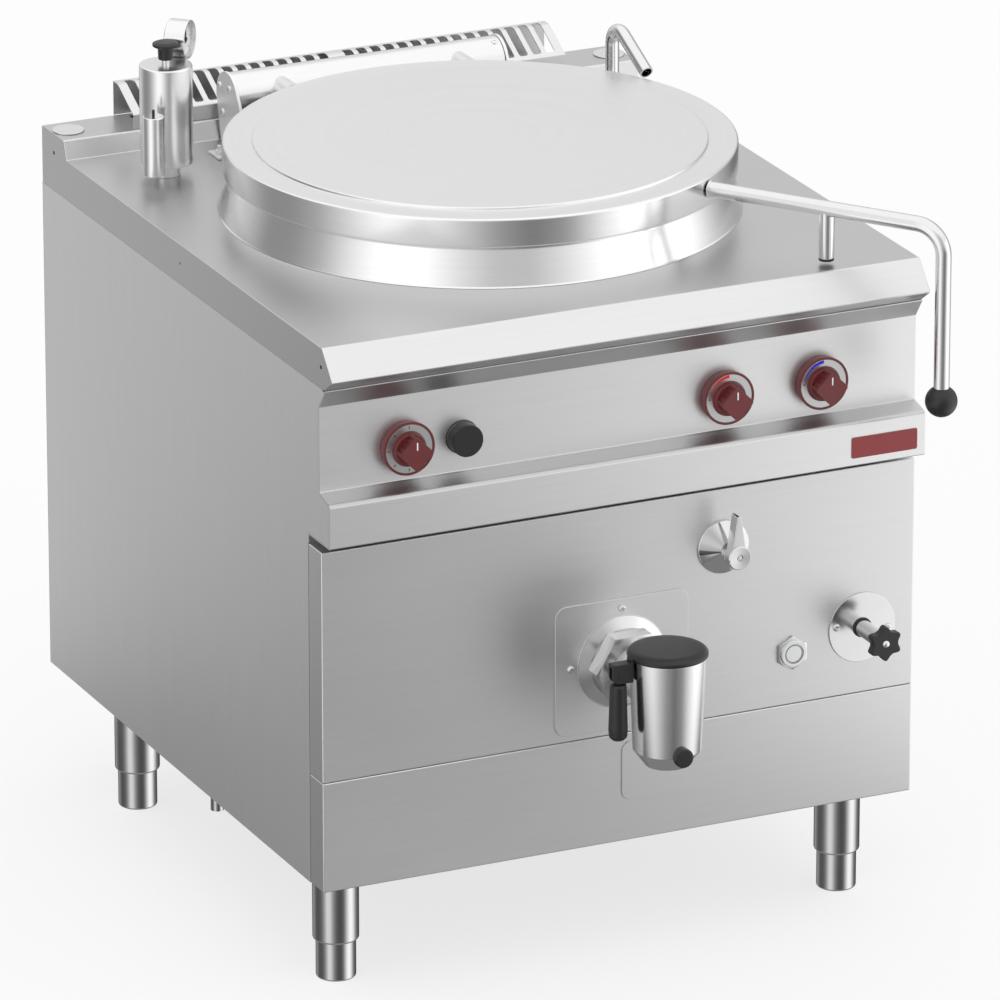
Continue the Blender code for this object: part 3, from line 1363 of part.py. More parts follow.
lever = place(
    "lever_valve_handle", turned_mesh("lever_valve_handle", hub_profile, MID_STEPS), "chrome", lever_at,
    TURN_TO_FRONT,
)
blade_outline = [(-BLADE_ROOT / 2, LEVER_HUB_R / 2), (BLADE_ROOT / 2, LEVER_HUB_R / 2)]
blade_outline += arc((0, BLADE_LENGTH - BLADE_TIP / 2), BLADE_TIP / 2, 0, pi, 6)
blade = flat(
    "lever_blade", blade_outline, BLADE_FRONT - BLADE_BACK, None,
    (LEVER_X, PANEL_D - (BLADE_FRONT + BLADE_BACK) / 2, LEVER_Z), TURN_TO_FRONT, CUTTERS,
)
fuse(lever, blade)

# Level valve: plate, sleeve and star knob.
star_at = (STAR_X, PANEL_D, STAR_Z)
plate_profile = [
    (LEVEL_PLATE_HOLE_R, GAP + SHEET), (
        LEVEL_PLATE_R - GAP, GAP + SHEET,
    ), (LEVEL_PLATE_R, GAP * 2), (LEVEL_PLATE_R, GAP), (LEVEL_PLATE_HOLE_R, GAP),
]
level_plate = place(
    "level_plate", turned_mesh("level_plate", plate_profile, BIG_STEPS // 2, closed=True), "brushed",
    star_at, TURN_TO_FRONT,
)
for side in (-1, 1):
    spot = Matrix.Translation((
        STAR_X + side * LEVEL_SCREW_R * cos(
            LEVEL_SCREW_TILT,
        ), PANEL_D - GAP - SHEET, STAR_Z + side * LEVEL_SCREW_R * sin(LEVEL_SCREW_TILT),
    ))
    head_at(level_plate, "level_screw_%d" % side, head, spot @ front_turn)
bore = STAR_SPINDLE_R + GAP
stem_profile = [
    (0, STEM_FRONT - STAR_SPINDLE_DEPTH - GAP), (bore, STEM_FRONT - STAR_SPINDLE_DEPTH - GAP),
    (bore, STEM_FRONT), (STEM_R, STEM_FRONT), (STEM_R, -STEM_BACK), (0, -STEM_BACK),
]
place(
    "level_valve_stem", turned_mesh("level_valve_stem", stem_profile, SMALL_STEPS), "brushed", star_at,
    TURN_TO_FRONT,
)
star_outline = [
    ((STAR_VALLEY_R + (STAR_LOBE_R - STAR_VALLEY_R) * (0.5 + 0.5 * cos(STAR_LOBES * a)) ** 1.3) * -sin(a),
     (STAR_VALLEY_R + (STAR_LOBE_R - STAR_VALLEY_R) * (0.5 + 0.5 * cos(STAR_LOBES * a)) ** 1.3) * cos(a))
    for a in [2 * pi * i / (STAR_LOBES * 8) for i in range(STAR_LOBES * 8)]
]
star = flat(
    "star_knob", star_outline, STAR_FACE - STAR_BACK, "black",
    (STAR_X, PANEL_D - (STAR_FACE + STAR_BACK) / 2, STAR_Z), TURN_TO_FRONT,
)
spindle_back = STEM_FRONT - STAR_SPINDLE_DEPTH
fuse(
    star,
    tool(
        "star_spindle",
        rod_mesh("star_spindle", STAR_SPINDLE_R, spindle_back, STAR_FACE - CUT / 2, SMALL_STEPS), star_at,
        TURN_TO_FRONT,
    ),
)
rivet_profile = [
    (0, STAR_FACE + STAR_RIVET_H), (STAR_RIVET_R * 0.7, STAR_FACE + STAR_RIVET_H * 0.75),
    (STAR_RIVET_R, STAR_FACE), (STAR_RIVET_R, STAR_FACE - CUT / 3), (0, STAR_FACE - CUT / 3),
]
fuse(
    star, tool("star_rivet", turned_mesh("star_rivet", rivet_profile, SMALL_STEPS), star_at, TURN_TO_FRONT),
    "MANIFOLD",
)

# Push button in a hexagonal nut.
button_at = (BUTTON_X, PANEL_D, BUTTON_Z)
nut = place(
    "reset_nut", hexagon_mesh("reset_nut", BUTTON_NUT, GAP, BUTTON_NUT_T, pi / 6), "polished", button_at,
    TURN_TO_FRONT,
)
fuse(
    nut,
    tool(
        "button_ring", rod_mesh("button_ring", BUTTON_RING_R, GAP * 2, BUTTON_RING_H), button_at,
        TURN_TO_FRONT,
    ),
)
fuse(
    nut,
    tool(
        "button_body", rod_mesh("button_body", BUTTON_BODY_R, -BUTTON_BODY_DEPTH, BUTTON_NUT_T / 2),
        button_at, TURN_TO_FRONT,
    ),
)
cut(
    nut,
    tool(
        "button_bore",
        rod_mesh("button_bore", BUTTON_R + GAP, -BUTTON_DEPTH - BUTTON_TRAVEL - GAP, BUTTON_RING_H + CUT),
        button_at, TURN_TO_FRONT,
    ),
)
place(
    "reset_button", rod_mesh("reset_button", BUTTON_R, -BUTTON_DEPTH, BUTTON_H), "polished", button_at,
    TURN_TO_FRONT,
)

# Drain: cover plate, flange, pipe with its union nut.
drain_plate_z = DRAIN_PLATE_Z + DRAIN_PLATE_HEIGHT / 2
drain_plate = flat(
    "drain_cover_plate", rounded_rectangle(
        DRAIN_PLATE_WIDTH, DRAIN_PLATE_HEIGHT, DRAIN_PLATE_R,
    ), THIN_SHEET, "brushed",
    (0, PANEL_D - GAP - THIN_SHEET / 2, drain_plate_z), TURN_TO_FRONT,
)
cut(
    drain_plate,
    tool(
        "drain_plate_hole", rod_mesh("drain_plate_hole", DRAIN_R + GAP, -CUT, CUT), drain_axis,
        TURN_TO_FRONT,
    ),
)
for k in range(4):
    spot = Matrix.Translation(
        (
            DRAIN_SCREW_R * cos(k * pi / 2), PANEL_D - GAP - THIN_SHEET,
            DRAIN_Z + DRAIN_SCREW_R * sin(k * pi / 2),
        ),
    )
    head_at(drain_plate, "drain_screw_%d" % k, head, spot @ front_turn)
flange_h = GAP * 2 + THIN_SHEET
flange_profile = [
    (DRAIN_R + GAP, FLANGE_H), (FLANGE_FACE_R, FLANGE_H), (
        FLANGE_R - GAP * 3, flange_h + GAP * 5,
    ), (FLANGE_R, flange_h + GAP * 3), (FLANGE_R, flange_h), (DRAIN_R + GAP, flange_h),
]
place(
    "drain_flange", turned_mesh("drain_flange", flange_profile, BIG_STEPS // 2 + 8, closed=True),
    "polished", drain_axis, TURN_TO_FRONT,
)
nut_back = FLANGE_H + GAP
nut_front = nut_back + NUT_T
drain_pipe = place(
    "drain_pipe", rod_mesh("drain_pipe", DRAIN_R, PIPE_BACK - CUT, nut_front), "polished", drain_axis,
    TURN_TO_FRONT,
)
fuse(
    drain_pipe,
    tool(
        "union_nut", hexagon_mesh("union_nut", NUT_ACROSS, nut_back, nut_front, pi / 6), drain_axis,
        TURN_TO_FRONT,
    ),
)
cut(
    drain_pipe,
    tool(
        "drain_bore", rod_mesh("drain_bore", DRAIN_BORE_R, PIPE_BACK - CUT * 3, nut_front + CUT),
        drain_axis, TURN_TO_FRONT,
    ),
)
cut(
    drain_pipe,
    tool(
        "bowl_outside",
        rod_mesh("bowl_outside", BOWL_R + SHELL + GAP, DRAIN_Z - CUT * 5, DRAIN_Z + CUT * 5, BIG_STEPS * 2),
        (0, BOWL_D, 0),
    ),
)

# Tap body: tapered barrel with a cone below and an inlet neck.
tap_at = (0, TAP_D, 0)
barrel_profile = [
    (0, TAP_TOP_Z), (TAP_TOP_R, TAP_TOP_Z), (TAP_SHOULDER_R, TAP_SHOULDER_Z), (TAP_END_R, TAP_END_Z),
    (0, TAP_END_Z),
]
tap_body = place("tap_body", turned_mesh("tap_body", barrel_profile, MID_STEPS + 8), "polished", tap_at)
neck_back = nut_front + GAP
fuse(
    tap_body,
    tool("tap_neck", rod_mesh("tap_neck", DRAIN_R, neck_back, PANEL_D - TAP_D), drain_axis, TURN_TO_FRONT),
)
cut(
    tap_body,
    tool(
        "tap_chamber", rod_mesh("tap_chamber", TAP_CHAMBER_R, TAP_CHAMBER_Z, TAP_TOP_Z + CUT, BIG_STEPS),
        tap_at,
    ),
)
cut(
    tap_body,
    tool("tap_outlet", rod_mesh("tap_outlet", TAP_OUTLET_R, TAP_END_Z - CUT, TAP_CHAMBER_Z + CUT), tap_at),
)
cut(
    tap_body,
    tool(
        "tap_inlet", rod_mesh("tap_inlet", DRAIN_BORE_R, neck_back - CUT, PANEL_D - TAP_D), drain_axis,
        TURN_TO_FRONT,
    ),
)
lock_at = (0, LOCK_FACE_D, LOCK_Z)
cut(
    tap_body,
    tool(
        "lock_bore",
        rod_mesh("lock_bore", LOCK_PIN_R + GAP, -LOCK_H - LOCK_PIN_LENGTH - GAP, -LOCK_H + CUT, 16),
        lock_at, TURN_TO_FRONT,
    ),
)
lock_profile = [
    (0, 0), (LOCK_R - GAP * 3, 0), (LOCK_R, -GAP * 3), (LOCK_R, -LOCK_H), (LOCK_PIN_R, -LOCK_H),
    (LOCK_PIN_R, -LOCK_H - LOCK_PIN_LENGTH), (0, -LOCK_H - LOCK_PIN_LENGTH),
]
place(
    "tap_lock_knob", turned_mesh("tap_lock_knob", lock_profile, SMALL_STEPS), "black", lock_at,
    TURN_TO_FRONT,
)

# Tap plug: black cap, fork for the handle and a hollow plug with one side port.
cap_z = TAP_TOP_Z + GAP
plug_r = TAP_CHAMBER_R - GAP
plug_profile = [
    (0, cap_z + TAP_CAP_H), (TAP_CAP_R * 0.75, cap_z + TAP_CAP_H * 0.93),
    (TAP_CAP_R * 0.94, cap_z + TAP_CAP_H * 0.75), (TAP_CAP_R, cap_z + TAP_CAP_RIM), (TAP_CAP_R, cap_z),
]
plug_profile += [
    (plug_r, cap_z), (plug_r, TAP_CHAMBER_Z + GAP), (plug_r - TAP_PLUG_WALL, TAP_CHAMBER_Z + GAP),
    (plug_r - TAP_PLUG_WALL, cap_z), (0, cap_z),
]
plug = place("tap_plug", turned_mesh("tap_plug", plug_profile, MID_STEPS + 8), "black", tap_at)
fork_outline = fillet(
    [
        (FORK_IN, FORK_TOP_Z), (FORK_OUT, FORK_TOP_Z), (FORK_OUT, FORK_Z), (FORK_IN, FORK_Z),
    ], [GAP * 3, FORK_ROUND], steps=5,
)
fork = flat("tap_fork", fork_outline, FORK_DEPTH, None, tap_at, TURN_TO_FRONT, CUTTERS)
fuse(plug, fork)
half_fork = FORK_DEPTH / 2
fuse(
    plug,
    tool(
        "tap_lug",
        box_mesh(
            "tap_lug", (LUG_OUT, -half_fork + GAP, FORK_TOP_Z - TONGUE),
            (FORK_IN, half_fork - GAP, cap_z + TAP_CAP_RIM - GAP),
        ),
        tap_at,
    ),
)
fuse(
    plug,
    tool(
        "tap_root",
        box_mesh(
            "tap_root", (LUG_OUT, -half_fork + GAP, cap_z + GAP),
            (LUG_IN, half_fork - GAP, cap_z + TAP_CAP_RIM - GAP),
        ),
        tap_at,
    ),
)
cut(
    plug,
    tool(
        "fork_slot",
        box_mesh(
            "fork_slot", (FORK_OUT - CUT, -FORK_SLOT / 2, FORK_Z - CUT),
            (FORK_SLOT_IN, FORK_SLOT / 2, FORK_TOP_Z + GAP),
        ),
        tap_at,
    ),
    "MANIFOLD",
)
pin_at = (TAP_PIN_X, TAP_D, TAP_PIN_Z)
cut(plug, tool("fork_bore", rod_mesh("fork_bore", TAP_PIN_R + GAP, -CUT, CUT, 12), pin_at, TURN_TO_FRONT))
cut(
    plug,
    tool("plug_port", rod_mesh("plug_port", TAP_PORT_R, 0, TAP_CAP_R), (0, TAP_D, DRAIN_Z), TURN_TO_SIDE),
)

# Folding tap handle: tongue on the pin and a grip that hangs below it.
drop = GRIP_TOP_Z - TAP_PIN_Z
tongue_outline = [(-TONGUE / 2, drop - TONGUE), (TONGUE / 2, drop - TONGUE), (TONGUE / 2, 0)]
tongue_outline += arc((0, 0), TONGUE / 2, 0, pi, 6)[1:]
tap_handle = flat("tap_handle", tongue_outline, FORK_SLOT - GAP * 2, "black", pin_at, TURN_TO_FRONT)
fuse(
    tap_handle,
    tool("tap_pin", rod_mesh("tap_pin", TAP_PIN_R, -half_fork, half_fork, 12), pin_at, TURN_TO_FRONT),
)
grip_drop = GRIP_Z - TAP_PIN_Z
grip_profile = [(0, drop), (GRIP_TOP_R * 0.75, drop), (GRIP_TOP_R, drop - TONGUE_ROUND)]
grip_profile += [
    (GRIP_R, grip_drop + GRIP_R * 0.9), (GRIP_R * 0.9, grip_drop + GRIP_R * 0.4),
    (GRIP_R * 0.55, grip_drop + GRIP_R * 0.08), (0, grip_drop),
]
fuse(tap_handle, tool("tap_grip", turned_mesh("tap_grip", grip_profile, SMALL_STEPS), pin_at), "MANIFOLD")

# Condensate pipe from the fire box down through the open floor of the cabinet.
stub_path = fillet(
    [
        Vector((STUB_X, STUB_D, STUB_Z)), Vector((STUB_X, STUB_D, STUB_RISE_Z)),
        Vector((-FIREBOX_WIDTH / 2 - GAP, STUB_D, STUB_RISE_Z)),
    ],
    [STUB_BEND], steps=4,
)
pipe("condensate_pipe", stub_path, STUB_R, "polished", 2)
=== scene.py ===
from math import atan2, cos, hypot, pi, radians, sin, tan

import bmesh
import bpy
from mathutils import Euler, Matrix, Vector


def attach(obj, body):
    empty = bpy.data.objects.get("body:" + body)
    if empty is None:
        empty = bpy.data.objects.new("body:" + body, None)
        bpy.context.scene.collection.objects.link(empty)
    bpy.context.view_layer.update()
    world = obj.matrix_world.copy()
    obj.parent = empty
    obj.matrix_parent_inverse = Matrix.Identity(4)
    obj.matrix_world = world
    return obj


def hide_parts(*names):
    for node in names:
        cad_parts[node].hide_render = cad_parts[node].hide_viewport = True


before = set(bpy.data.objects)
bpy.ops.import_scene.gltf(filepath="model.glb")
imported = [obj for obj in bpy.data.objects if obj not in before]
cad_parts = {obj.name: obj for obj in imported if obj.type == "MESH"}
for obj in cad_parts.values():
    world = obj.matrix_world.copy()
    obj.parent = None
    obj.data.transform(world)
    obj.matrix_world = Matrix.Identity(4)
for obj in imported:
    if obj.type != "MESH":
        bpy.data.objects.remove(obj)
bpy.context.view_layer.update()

# Sizes in metres, nearly all the same as in the part. Depth runs back from the worktop's nose.
FRONT_Y = -0.377
GAP = 0.0003
SHEET = 0.0015
THIN_SHEET = 0.0012
HALF = 0.400
DEPTH = 0.900
BASE_Z = 0.1509
SKIRT_Z = 0.8022
SKIRT_HOLE_Z = 0.829
NOSE_Z = 0.8178
NOSE_LIP = 0.0225
TOP_Z = 0.8535
BEVEL_DEPTH = 0.0311
OPENING_R = 0.312
RISE_FRONT = 0.8198
RISE_SLOPE = 0.0089
RISE_Z = 0.8777
RISE_CAP_AT = (0.378, 0.865)
RISE_CAP_R = 0.0205
STRIP_TOP = 0.0215
FACE_D = 0.0391
FACE_TOP_Z = 0.7763
LEDGE_Z = 0.6670
LEDGE_NOSE_Z = 0.6605
BAND_D = 0.0097
BAND_Z = 0.6037
PANEL_D = 0.0357
RETURN_D = 0.0732
PANEL_TOP_Z = 0.5915
PANEL_SPLIT_Z = 0.2937
COVER_AT = (0.045, PANEL_D, 0.24325)
SEAM = 0.0005
LEG_X = 0.3442
LEG_FRONT = 0.1254
LEG_REAR = 0.7481
SLEEVE_R = 0.02885
SLEEVE_Z = 0.050
SLEEVE_BORE = 0.0256
FOOT_R = 0.025
FOOT_TOP_Z = 0.143
BOWL_D = 0.4448
BOWL_R = 0.300
BOWL_BOTTOM_Z = 0.358
BOWL_CORNER = 0.012
RIM_Z = 0.9265
NECK_R = 0.3130
NECK_Z = 0.8990
FLARE_R = 0.3265
SHELL = 0.0020
LID_R = 0.320
LID_SKIRT_Z = 0.9036
LID_FLANGE_Z = 0.9400
LID_EDGE = 0.0030
LID_DISC_R = 0.2835
LID_DISC_Z = 0.9428
LID_CROWN = 0.0017
HANDLE_R = 0.0097
HANDLE_Z = 0.925
HANDLE_ROOT_ANGLE = radians(-54.0)
HANDLE_END_X = 0.3795
HANDLE_END_D = -0.0707
HANDLE_BEND = 0.036
WELD_R = 0.0014
BALL_R = 0.020
BALL_Z = 0.703
BALL_SOCKET = 0.012
STOP_X = 0.2855
STOP_D = 0.0573
STOP_R = 0.0095
STOP_Z = 0.8615
PIVOT_D = 0.797
PIVOT_Z = 0.916
HINGE_TUBE_R = 0.031
HINGE_HALF = 0.1895
PLATE_T = 0.004
SHAFT_R = 0.008
ARM_X = 0.123
ARM_R = 0.0135
ARM_Z = 0.927
PLATE_R = 0.0325
BOLT_OFFSETS = ((0.020, 0.010), (-0.010, 0.013), (0.011, -0.023))
VALVE_X = -0.306
VALVE_D = 0.7175
VALVE_R = 0.0334
VALVE_NECK_R = 0.0165
VALVE_Z = 0.8695
VALVE_TOP_Z = 0.9985
PULL_STEM_Z = 1.0210
PULL_TOP_Z = 1.0280
GAUGE_AT = (-0.2745, 0.7462, 1.0190)
GAUGE_R = 0.0246
GAUGE_DEPTH = 0.027
GAUGE_RECESS = 0.006
GAUGE_TURN = (pi / 2, 0, radians(48.0))
VACUUM_X = -0.3435
VACUUM_D = 0.670
VACUUM_R = 0.0136
VACUUM_NUB_R = 0.0045
VACUUM_Z = 0.8720
VACUUM_NUB_Z = 0.8698
VACUUM_TOP_Z = 0.949
SPOUT_X = 0.296
SPOUT_D = 0.684
SPOUT_R = 0.00875
SPOUT_BORE_R = 0.0070
SPOUT_PEAK_Z = 0.990
SPOUT_END = (0.3008, 0.5937, 0.941)
KNOB_Z = 0.7110
DIAL_HEIGHT = 0.0129
MARK_R = 0.0262
MARK_WIDTH = 0.0040
STOP_MARK_R = 0.0268
IGNITER_AT = (-0.2126, FACE_D, KNOB_Z)
LEVER_AT = (0.1373, PANEL_D, 0.5165)
LEVER_HOLE_R = 0.0098
STAR_AT = (0.3293, PANEL_D, 0.3802)
STAR_HOLE_R = 0.0110
STAR_CORE_R = 0.0170
STAR_LOBE = 0.0054
BUTTON_AT = (0.2330, PANEL_D, 0.3622)
BUTTON_HOLE_R = 0.0163
DRAIN_AT = (0, PANEL_D, 0.389)
DRAIN_R = 0.030
DRAIN_BORE_R = 0.025
TAP_D = -0.0935
TAP_TOP_Z = 0.4416
TAP_BOTTOM_Z = 0.3013
PLUG_R = 0.0352
PLUG_BORE_R = 0.0312
PLUG_BOTTOM_Z = 0.3323
LOCK_AT = (0, -0.146, 0.3235)
PIN_AT = (-0.0662, TAP_D, 0.4254)
TONGUE_R = 0.00375
PIPE_X = -0.350
PIPE_D = 0.4764
PIPE_TOP_Z = 0.235
GRILLE_FRONT = 0.834
GRILLE_LIP_Z = 0.8966
GRILLE_TOP_Z = 0.9233
GRILLE_FLAT = 0.0165
SLOT_FRONT = 0.0060
SLOT_BACK = 0.0065
GRILLE_HALF = 0.3015
SLOT_COUNT = 15
SLOT_PITCH = 0.019
SLOT_WIDTH = 0.012

# How far cutters reach past what they cut.
PAST = 0.01

TO_FRONT = (pi / 2, 0, 0)
TO_SIDE = (0, pi / 2, 0)


# Wires, nodes and finishes

class Wire:
    """A node's output. Arithmetic on it adds Math nodes to its tree."""

    def __init__(self, tree, node, output=0):
        self.tree = tree
        self.node = node
        self.socket = node.outputs[output]

    def out(self, output):
        return Wire(self.tree, self.node, output)

    def calc(self, operation, *terms):
        return add_node(self.tree, "ShaderNodeMath", {"operation": operation}, enumerate(terms))

    def __add__(self, other):
        return self.calc("ADD", self, other)

    def __sub__(self, other):
        return self.calc("SUBTRACT", self, other)

    def __rsub__(self, other):
        return self.calc("SUBTRACT", other, self)

    def __mul__(self, other):
        return self.calc("MULTIPLY", self, other)

    def __truediv__(self, other):
        return self.calc("DIVIDE", self, other)

    __radd__ = __add__


def add_node(tree, kind, settings=(), sockets=(), output=0):
    """Add a node: its settings first, then the values or links of its sockets."""
    made = tree.nodes.new(kind)
    for name, value in dict(settings).items():
        if name == "stops":
            ramp = made.color_ramp.elements
            while len(ramp) < len(value):
                ramp.new(1)
            for stop, (position, shade) in zip(ramp, value):
                stop.position = position
                stop.color = (shade, shade, shade, 1)
        else:
            setattr(made, name, value)
    for name, value in dict(sockets).items():
        if isinstance(value, Wire):
            tree.links.new(value.socket, made.inputs[name])
        else:
            made.inputs[name].default_value = value
    return Wire(tree, made, output)


class Nodes:
    """A node tree, with the nodes that several trees need."""

    def __init__(self, tree):
        self.tree = tree

    def node(self, kind, settings=(), sockets=(), output=0):
        return add_node(self.tree, kind, settings, sockets, output)

    def vector(self, operation, sockets, output=0):
        return self.node("ShaderNodeVectorMath", {"operation": operation}, sockets, output)

    def parts(self, vector):
        return self.node("ShaderNodeSeparateXYZ", {}, {0: vector})

    def combined(self, **parts):
        sockets = {"xyz".index(part): value for part, value in parts.items()}
        return self.node("ShaderNodeCombineXYZ", {}, sockets)

    def step(self, value, low, high):
        """Smooth step from 0 at low to 1 at high."""
        sockets = {0: value, 1: low, 2: high}
        return self.node("ShaderNodeMapRange", {"interpolation_type": "SMOOTHSTEP"}, sockets)

    def mixed(self, share, one, two):
        return self.node("ShaderNodeMixShader", {}, {0: share, 1: one, 2: two})

    def end(self, kind, wire):
        self.tree.links.new(wire.socket, self.tree.nodes.new(kind).inputs[0])


class Finish(Nodes):
    """A surface finish round one Principled shader, patterned on the piece's own coordinates."""

    def __init__(self, name, **constants):
        self.material = bpy.data.materials.new(name)
        self.material.use_nodes = True
        super().__init__(self.material.node_tree)
        for key, value in constants.items():
            self.inlet(key).default_value = value
        self.spot = self.node("ShaderNodeTexCoord", output="Object")

    def inlet(self, key):
        return self.tree.nodes["Principled BSDF"].inputs[key.replace("_", " ").title()]

    def noise(self, stretch, detail=2.0, spot=None):
        where = self.node("ShaderNodeMapping", {}, {"Vector": spot or self.spot, "Scale": stretch})
        return self.node("ShaderNodeTexNoise", {}, {"Vector": where, "Scale": 1.0, "Detail": detail})

    def tint(self, factor, dark, light):
        sockets = {0: factor, 6: (*dark, 1), 7: (*light, 1)}
        return self.node("ShaderNodeMix", {"data_type": "RGBA"}, sockets, 2)

    def relief(self, height, strength):
        sockets = {"Strength": strength, "Distance": 0.0003, "Height": height}
        return self.node("ShaderNodeBump", {}, sockets)

    def feed(self, **wires):
        for key, wire in wires.items():
            self.tree.links.new(wire.socket, self.inlet(key))
        return self.material

    def round_axis(self, centre):
        """Coordinates whose first part is the distance from an upright axis through centre."""
        away = self.vector("SUBTRACT", {0: self.spot, 1: centre})
        level = self.vector("MULTIPLY", {0: away, 1: (1.0, 1.0, 0.0)})
        distance = self.vector("LENGTH", {0: level}, "Value")
        parts = self.parts(away)
        return self.combined(x=distance, y=parts.out(0), z=parts.out(1))


def grained_steel(name, stretch, shade, roughness, grain, centre=None):
    """Stainless steel with its grain drawn out along one direction, or round an upright axis."""
    finish = Finish(name, metallic=1.0)
    spot = finish.round_axis(centre) if centre else None
    fine = finish.noise(stretch, 3.0, spot)
    coarse = finish.noise([part * 0.35 for part in stretch], 2.0, spot)
    cloud = finish.noise((3.1, 2.7, 3.4), 2.0)
    streaks = fine * 0.6 + coarse * 0.4
    level = streaks * 0.75 + cloud * 0.25
    colour = finish.tint(level, (shade * 0.94,) * 3, (shade * 1.06, shade * 1.06, shade * 1.065))
    gloss = roughness - grain / 2 + streaks * grain + (cloud - 0.5) * 0.05
    return finish.feed(base_color=colour, roughness=gloss, normal=finish.relief(streaks, 0.05))


def even_steel(name, scale, shade, roughness, grain):
    """Steel whose grain has no direction."""
    return grained_steel(name, (scale,) * 3, shade, roughness, grain)


def moulded(name, dark, light, roughness, grit, relief=0.12, coat=0.0):
    """Moulded plastic, rubber or print with a fine eroded skin."""
    finish = Finish(name, coat_weight=coat, coat_roughness=0.2)
    skin = finish.noise((grit,) * 3, 3.0)
    cloud = finish.noise((25.0,) * 3, 2.0)
    colour = finish.tint(skin * 0.5 + cloud * 0.5, dark, light)
    gloss = roughness - 0.06 + cloud * 0.08 + skin * 0.04
    return finish.feed(base_color=colour, roughness=gloss, normal=finish.relief(skin, relief))


FINE_ACROSS = (14.0, 420.0, 420.0)
ACROSS = (10.0, 300.0, 300.0)
LEVEL = (9.0, 9.0, 420.0)
SHEET_ACROSS = grained_steel("sheet_grain_across", FINE_ACROSS, 0.74, 0.41, 0.05)
# The control panel's steel is painted lighter than the front sheets: painted light against the shade under
# the worktop nose.
CONTROL_SHEET_PAINTED_LIGHT = grained_steel("control_sheet_grain", FINE_ACROSS, 0.82, 0.44, 0.05)
# Darker copy for the control panel's sloped folds: painted shade where they mirror dark parts of the room.
CONTROL_FOLDS_PAINTED_SHADE = grained_steel("control_fold_grain", FINE_ACROSS, 0.57, 0.38, 0.05)
SHEET_UPRIGHT = grained_steel("sheet_grain_upright", (260.0, 260.0, 9.0), 0.86, 0.46, 0.05)
WORKTOP = grained_steel("worktop_grain_across", ACROSS, 0.57, 0.33, 0.05)
# Lighter copy of the worktop steel for the nose bevel's faces: a painted highlight where the bevel catches
# the bright room overhead.
NOSE_PAINTED_HIGHLIGHT = grained_steel("nose_grain_across", ACROSS, 0.72, 0.36, 0.05)
LID_TOP = grained_steel("lid_satin", (300.0, 6.0, 6.0), 0.82, 0.30, 0.03, (0, BOWL_D + FRONT_Y, 0))
LID_BAND = grained_steel("lid_band", LEVEL, 0.82, 0.20, 0.03)
COLLAR = grained_steel("collar_polished", LEVEL, 0.84, 0.18, 0.03)
TURNED = grained_steel("turned_steel", (30.0, 30.0, 700.0), 0.72, 0.18, 0.06)
VALVE_STEEL = grained_steel("valve_steel", (40.0, 40.0, 500.0), 0.80, 0.23, 0.05)
LEG_STEEL = even_steel("leg_steel", 60.0, 0.78, 0.14, 0.04)
TURNED_FRONT = even_steel("turned_steel_to_front", 60.0, 0.72, 0.20, 0.03)
TUBE = even_steel("drawn_tube", 90.0, 0.74, 0.17, 0.06)
CHROME = even_steel("chrome_plate", 60.0, 0.72, 0.11, 0.03)
DARK_FRAME = even_steel("frame_steel", 50.0, 0.30, 0.50, 0.12)
BRASS = even_steel("valve_brass", 90.0, 0.50, 0.30, 0.10)
DIAL_GREY = even_steel("dial_foil", 260.0, 0.58, 0.34, 0.06)
BLACK_PLASTIC = moulded("black_plastic", (0.008,) * 3, (0.017,) * 3, 0.40, 900.0)
RED_PLASTIC = moulded("dark_red_plastic", (0.118, 0.016, 0.018), (0.165, 0.024, 0.027), 0.38, 900.0)
RUBBER = moulded("seal_rubber", (0.018,) * 3, (0.035,) * 3, 0.72, 500.0, 0.25)
WOOL = moulded("mineral_wool", (0.42, 0.37, 0.24), (0.62, 0.57, 0.41), 0.92, 180.0, 0.9)
WHITE_ENAMEL = moulded("white_enamel", (0.80, 0.80, 0.78), (0.88, 0.88, 0.86), 0.32, 300.0, 0.03)
WHITE_PRINT = moulded("white_print", (0.80,) * 3, (0.90,) * 3, 0.45, 900.0, 0.02)
BLACK_PRINT = moulded("black_print", (0.01,) * 3, (0.02,) * 3, 0.50, 900.0, 0.02)
RED_PRINT = moulded("red_print", (0.74, 0.0, 0.0), (0.80, 0.004, 0.004), 0.62, 900.0, 0.02)
BLUE_PRINT = moulded("blue_print", (0.0, 0.0, 0.66), (0.004, 0.004, 0.74), 0.62, 900.0, 0.02)
BADGE_RED = moulded("badge_red", (0.20, 0.002, 0.004), (0.26, 0.004, 0.006), 0.22, 200.0, 0.02, 0.6)
GREEN_RING = moulded("green_ring", (0.07, 0.14, 0.09), (0.10, 0.19, 0.12), 0.40, 300.0, 0.05)
YELLOW_PLUG = moulded("yellow_plug", (0.55, 0.50, 0.02), (0.68, 0.62, 0.04), 0.45, 300.0, 0.05)


# Shapes

def arc(centre, radius, start, end, steps):
    return [
        Vector((centre[0] + radius * cos(start + (end - start) * k / steps),
                centre[1] + radius * sin(start + (end - start) * k / steps)))
        for k in range(steps + 1)
    ]


def fillet(points, radii, steps=6):
    """Round the inner corners of an open path; one radius for each inner point."""
    result = [Vector(points[0])]
    for i, radius in enumerate(radii, start=1):
        here = Vector(points[i])
        back = (Vector(points[i - 1]) - here).normalized()
        ahead = (Vector(points[i + 1]) - here).normalized()
        bend = pi - back.angle(ahead)
        if not radius or bend < radians(1):
            result.append(here)
            continue
        reach = radius * tan(bend / 2)
        middle = here + (back + ahead).normalized() * (radius / cos(bend / 2))
        first = here + back * reach - middle
        last = here + ahead * reach - middle
        for k in range(steps + 1):
            share = k / steps
            result.append(middle + (first * sin((1 - share) * bend) + last * sin(share * bend)) / sin(bend))
    result.append(Vector(points[-1]))
    return result


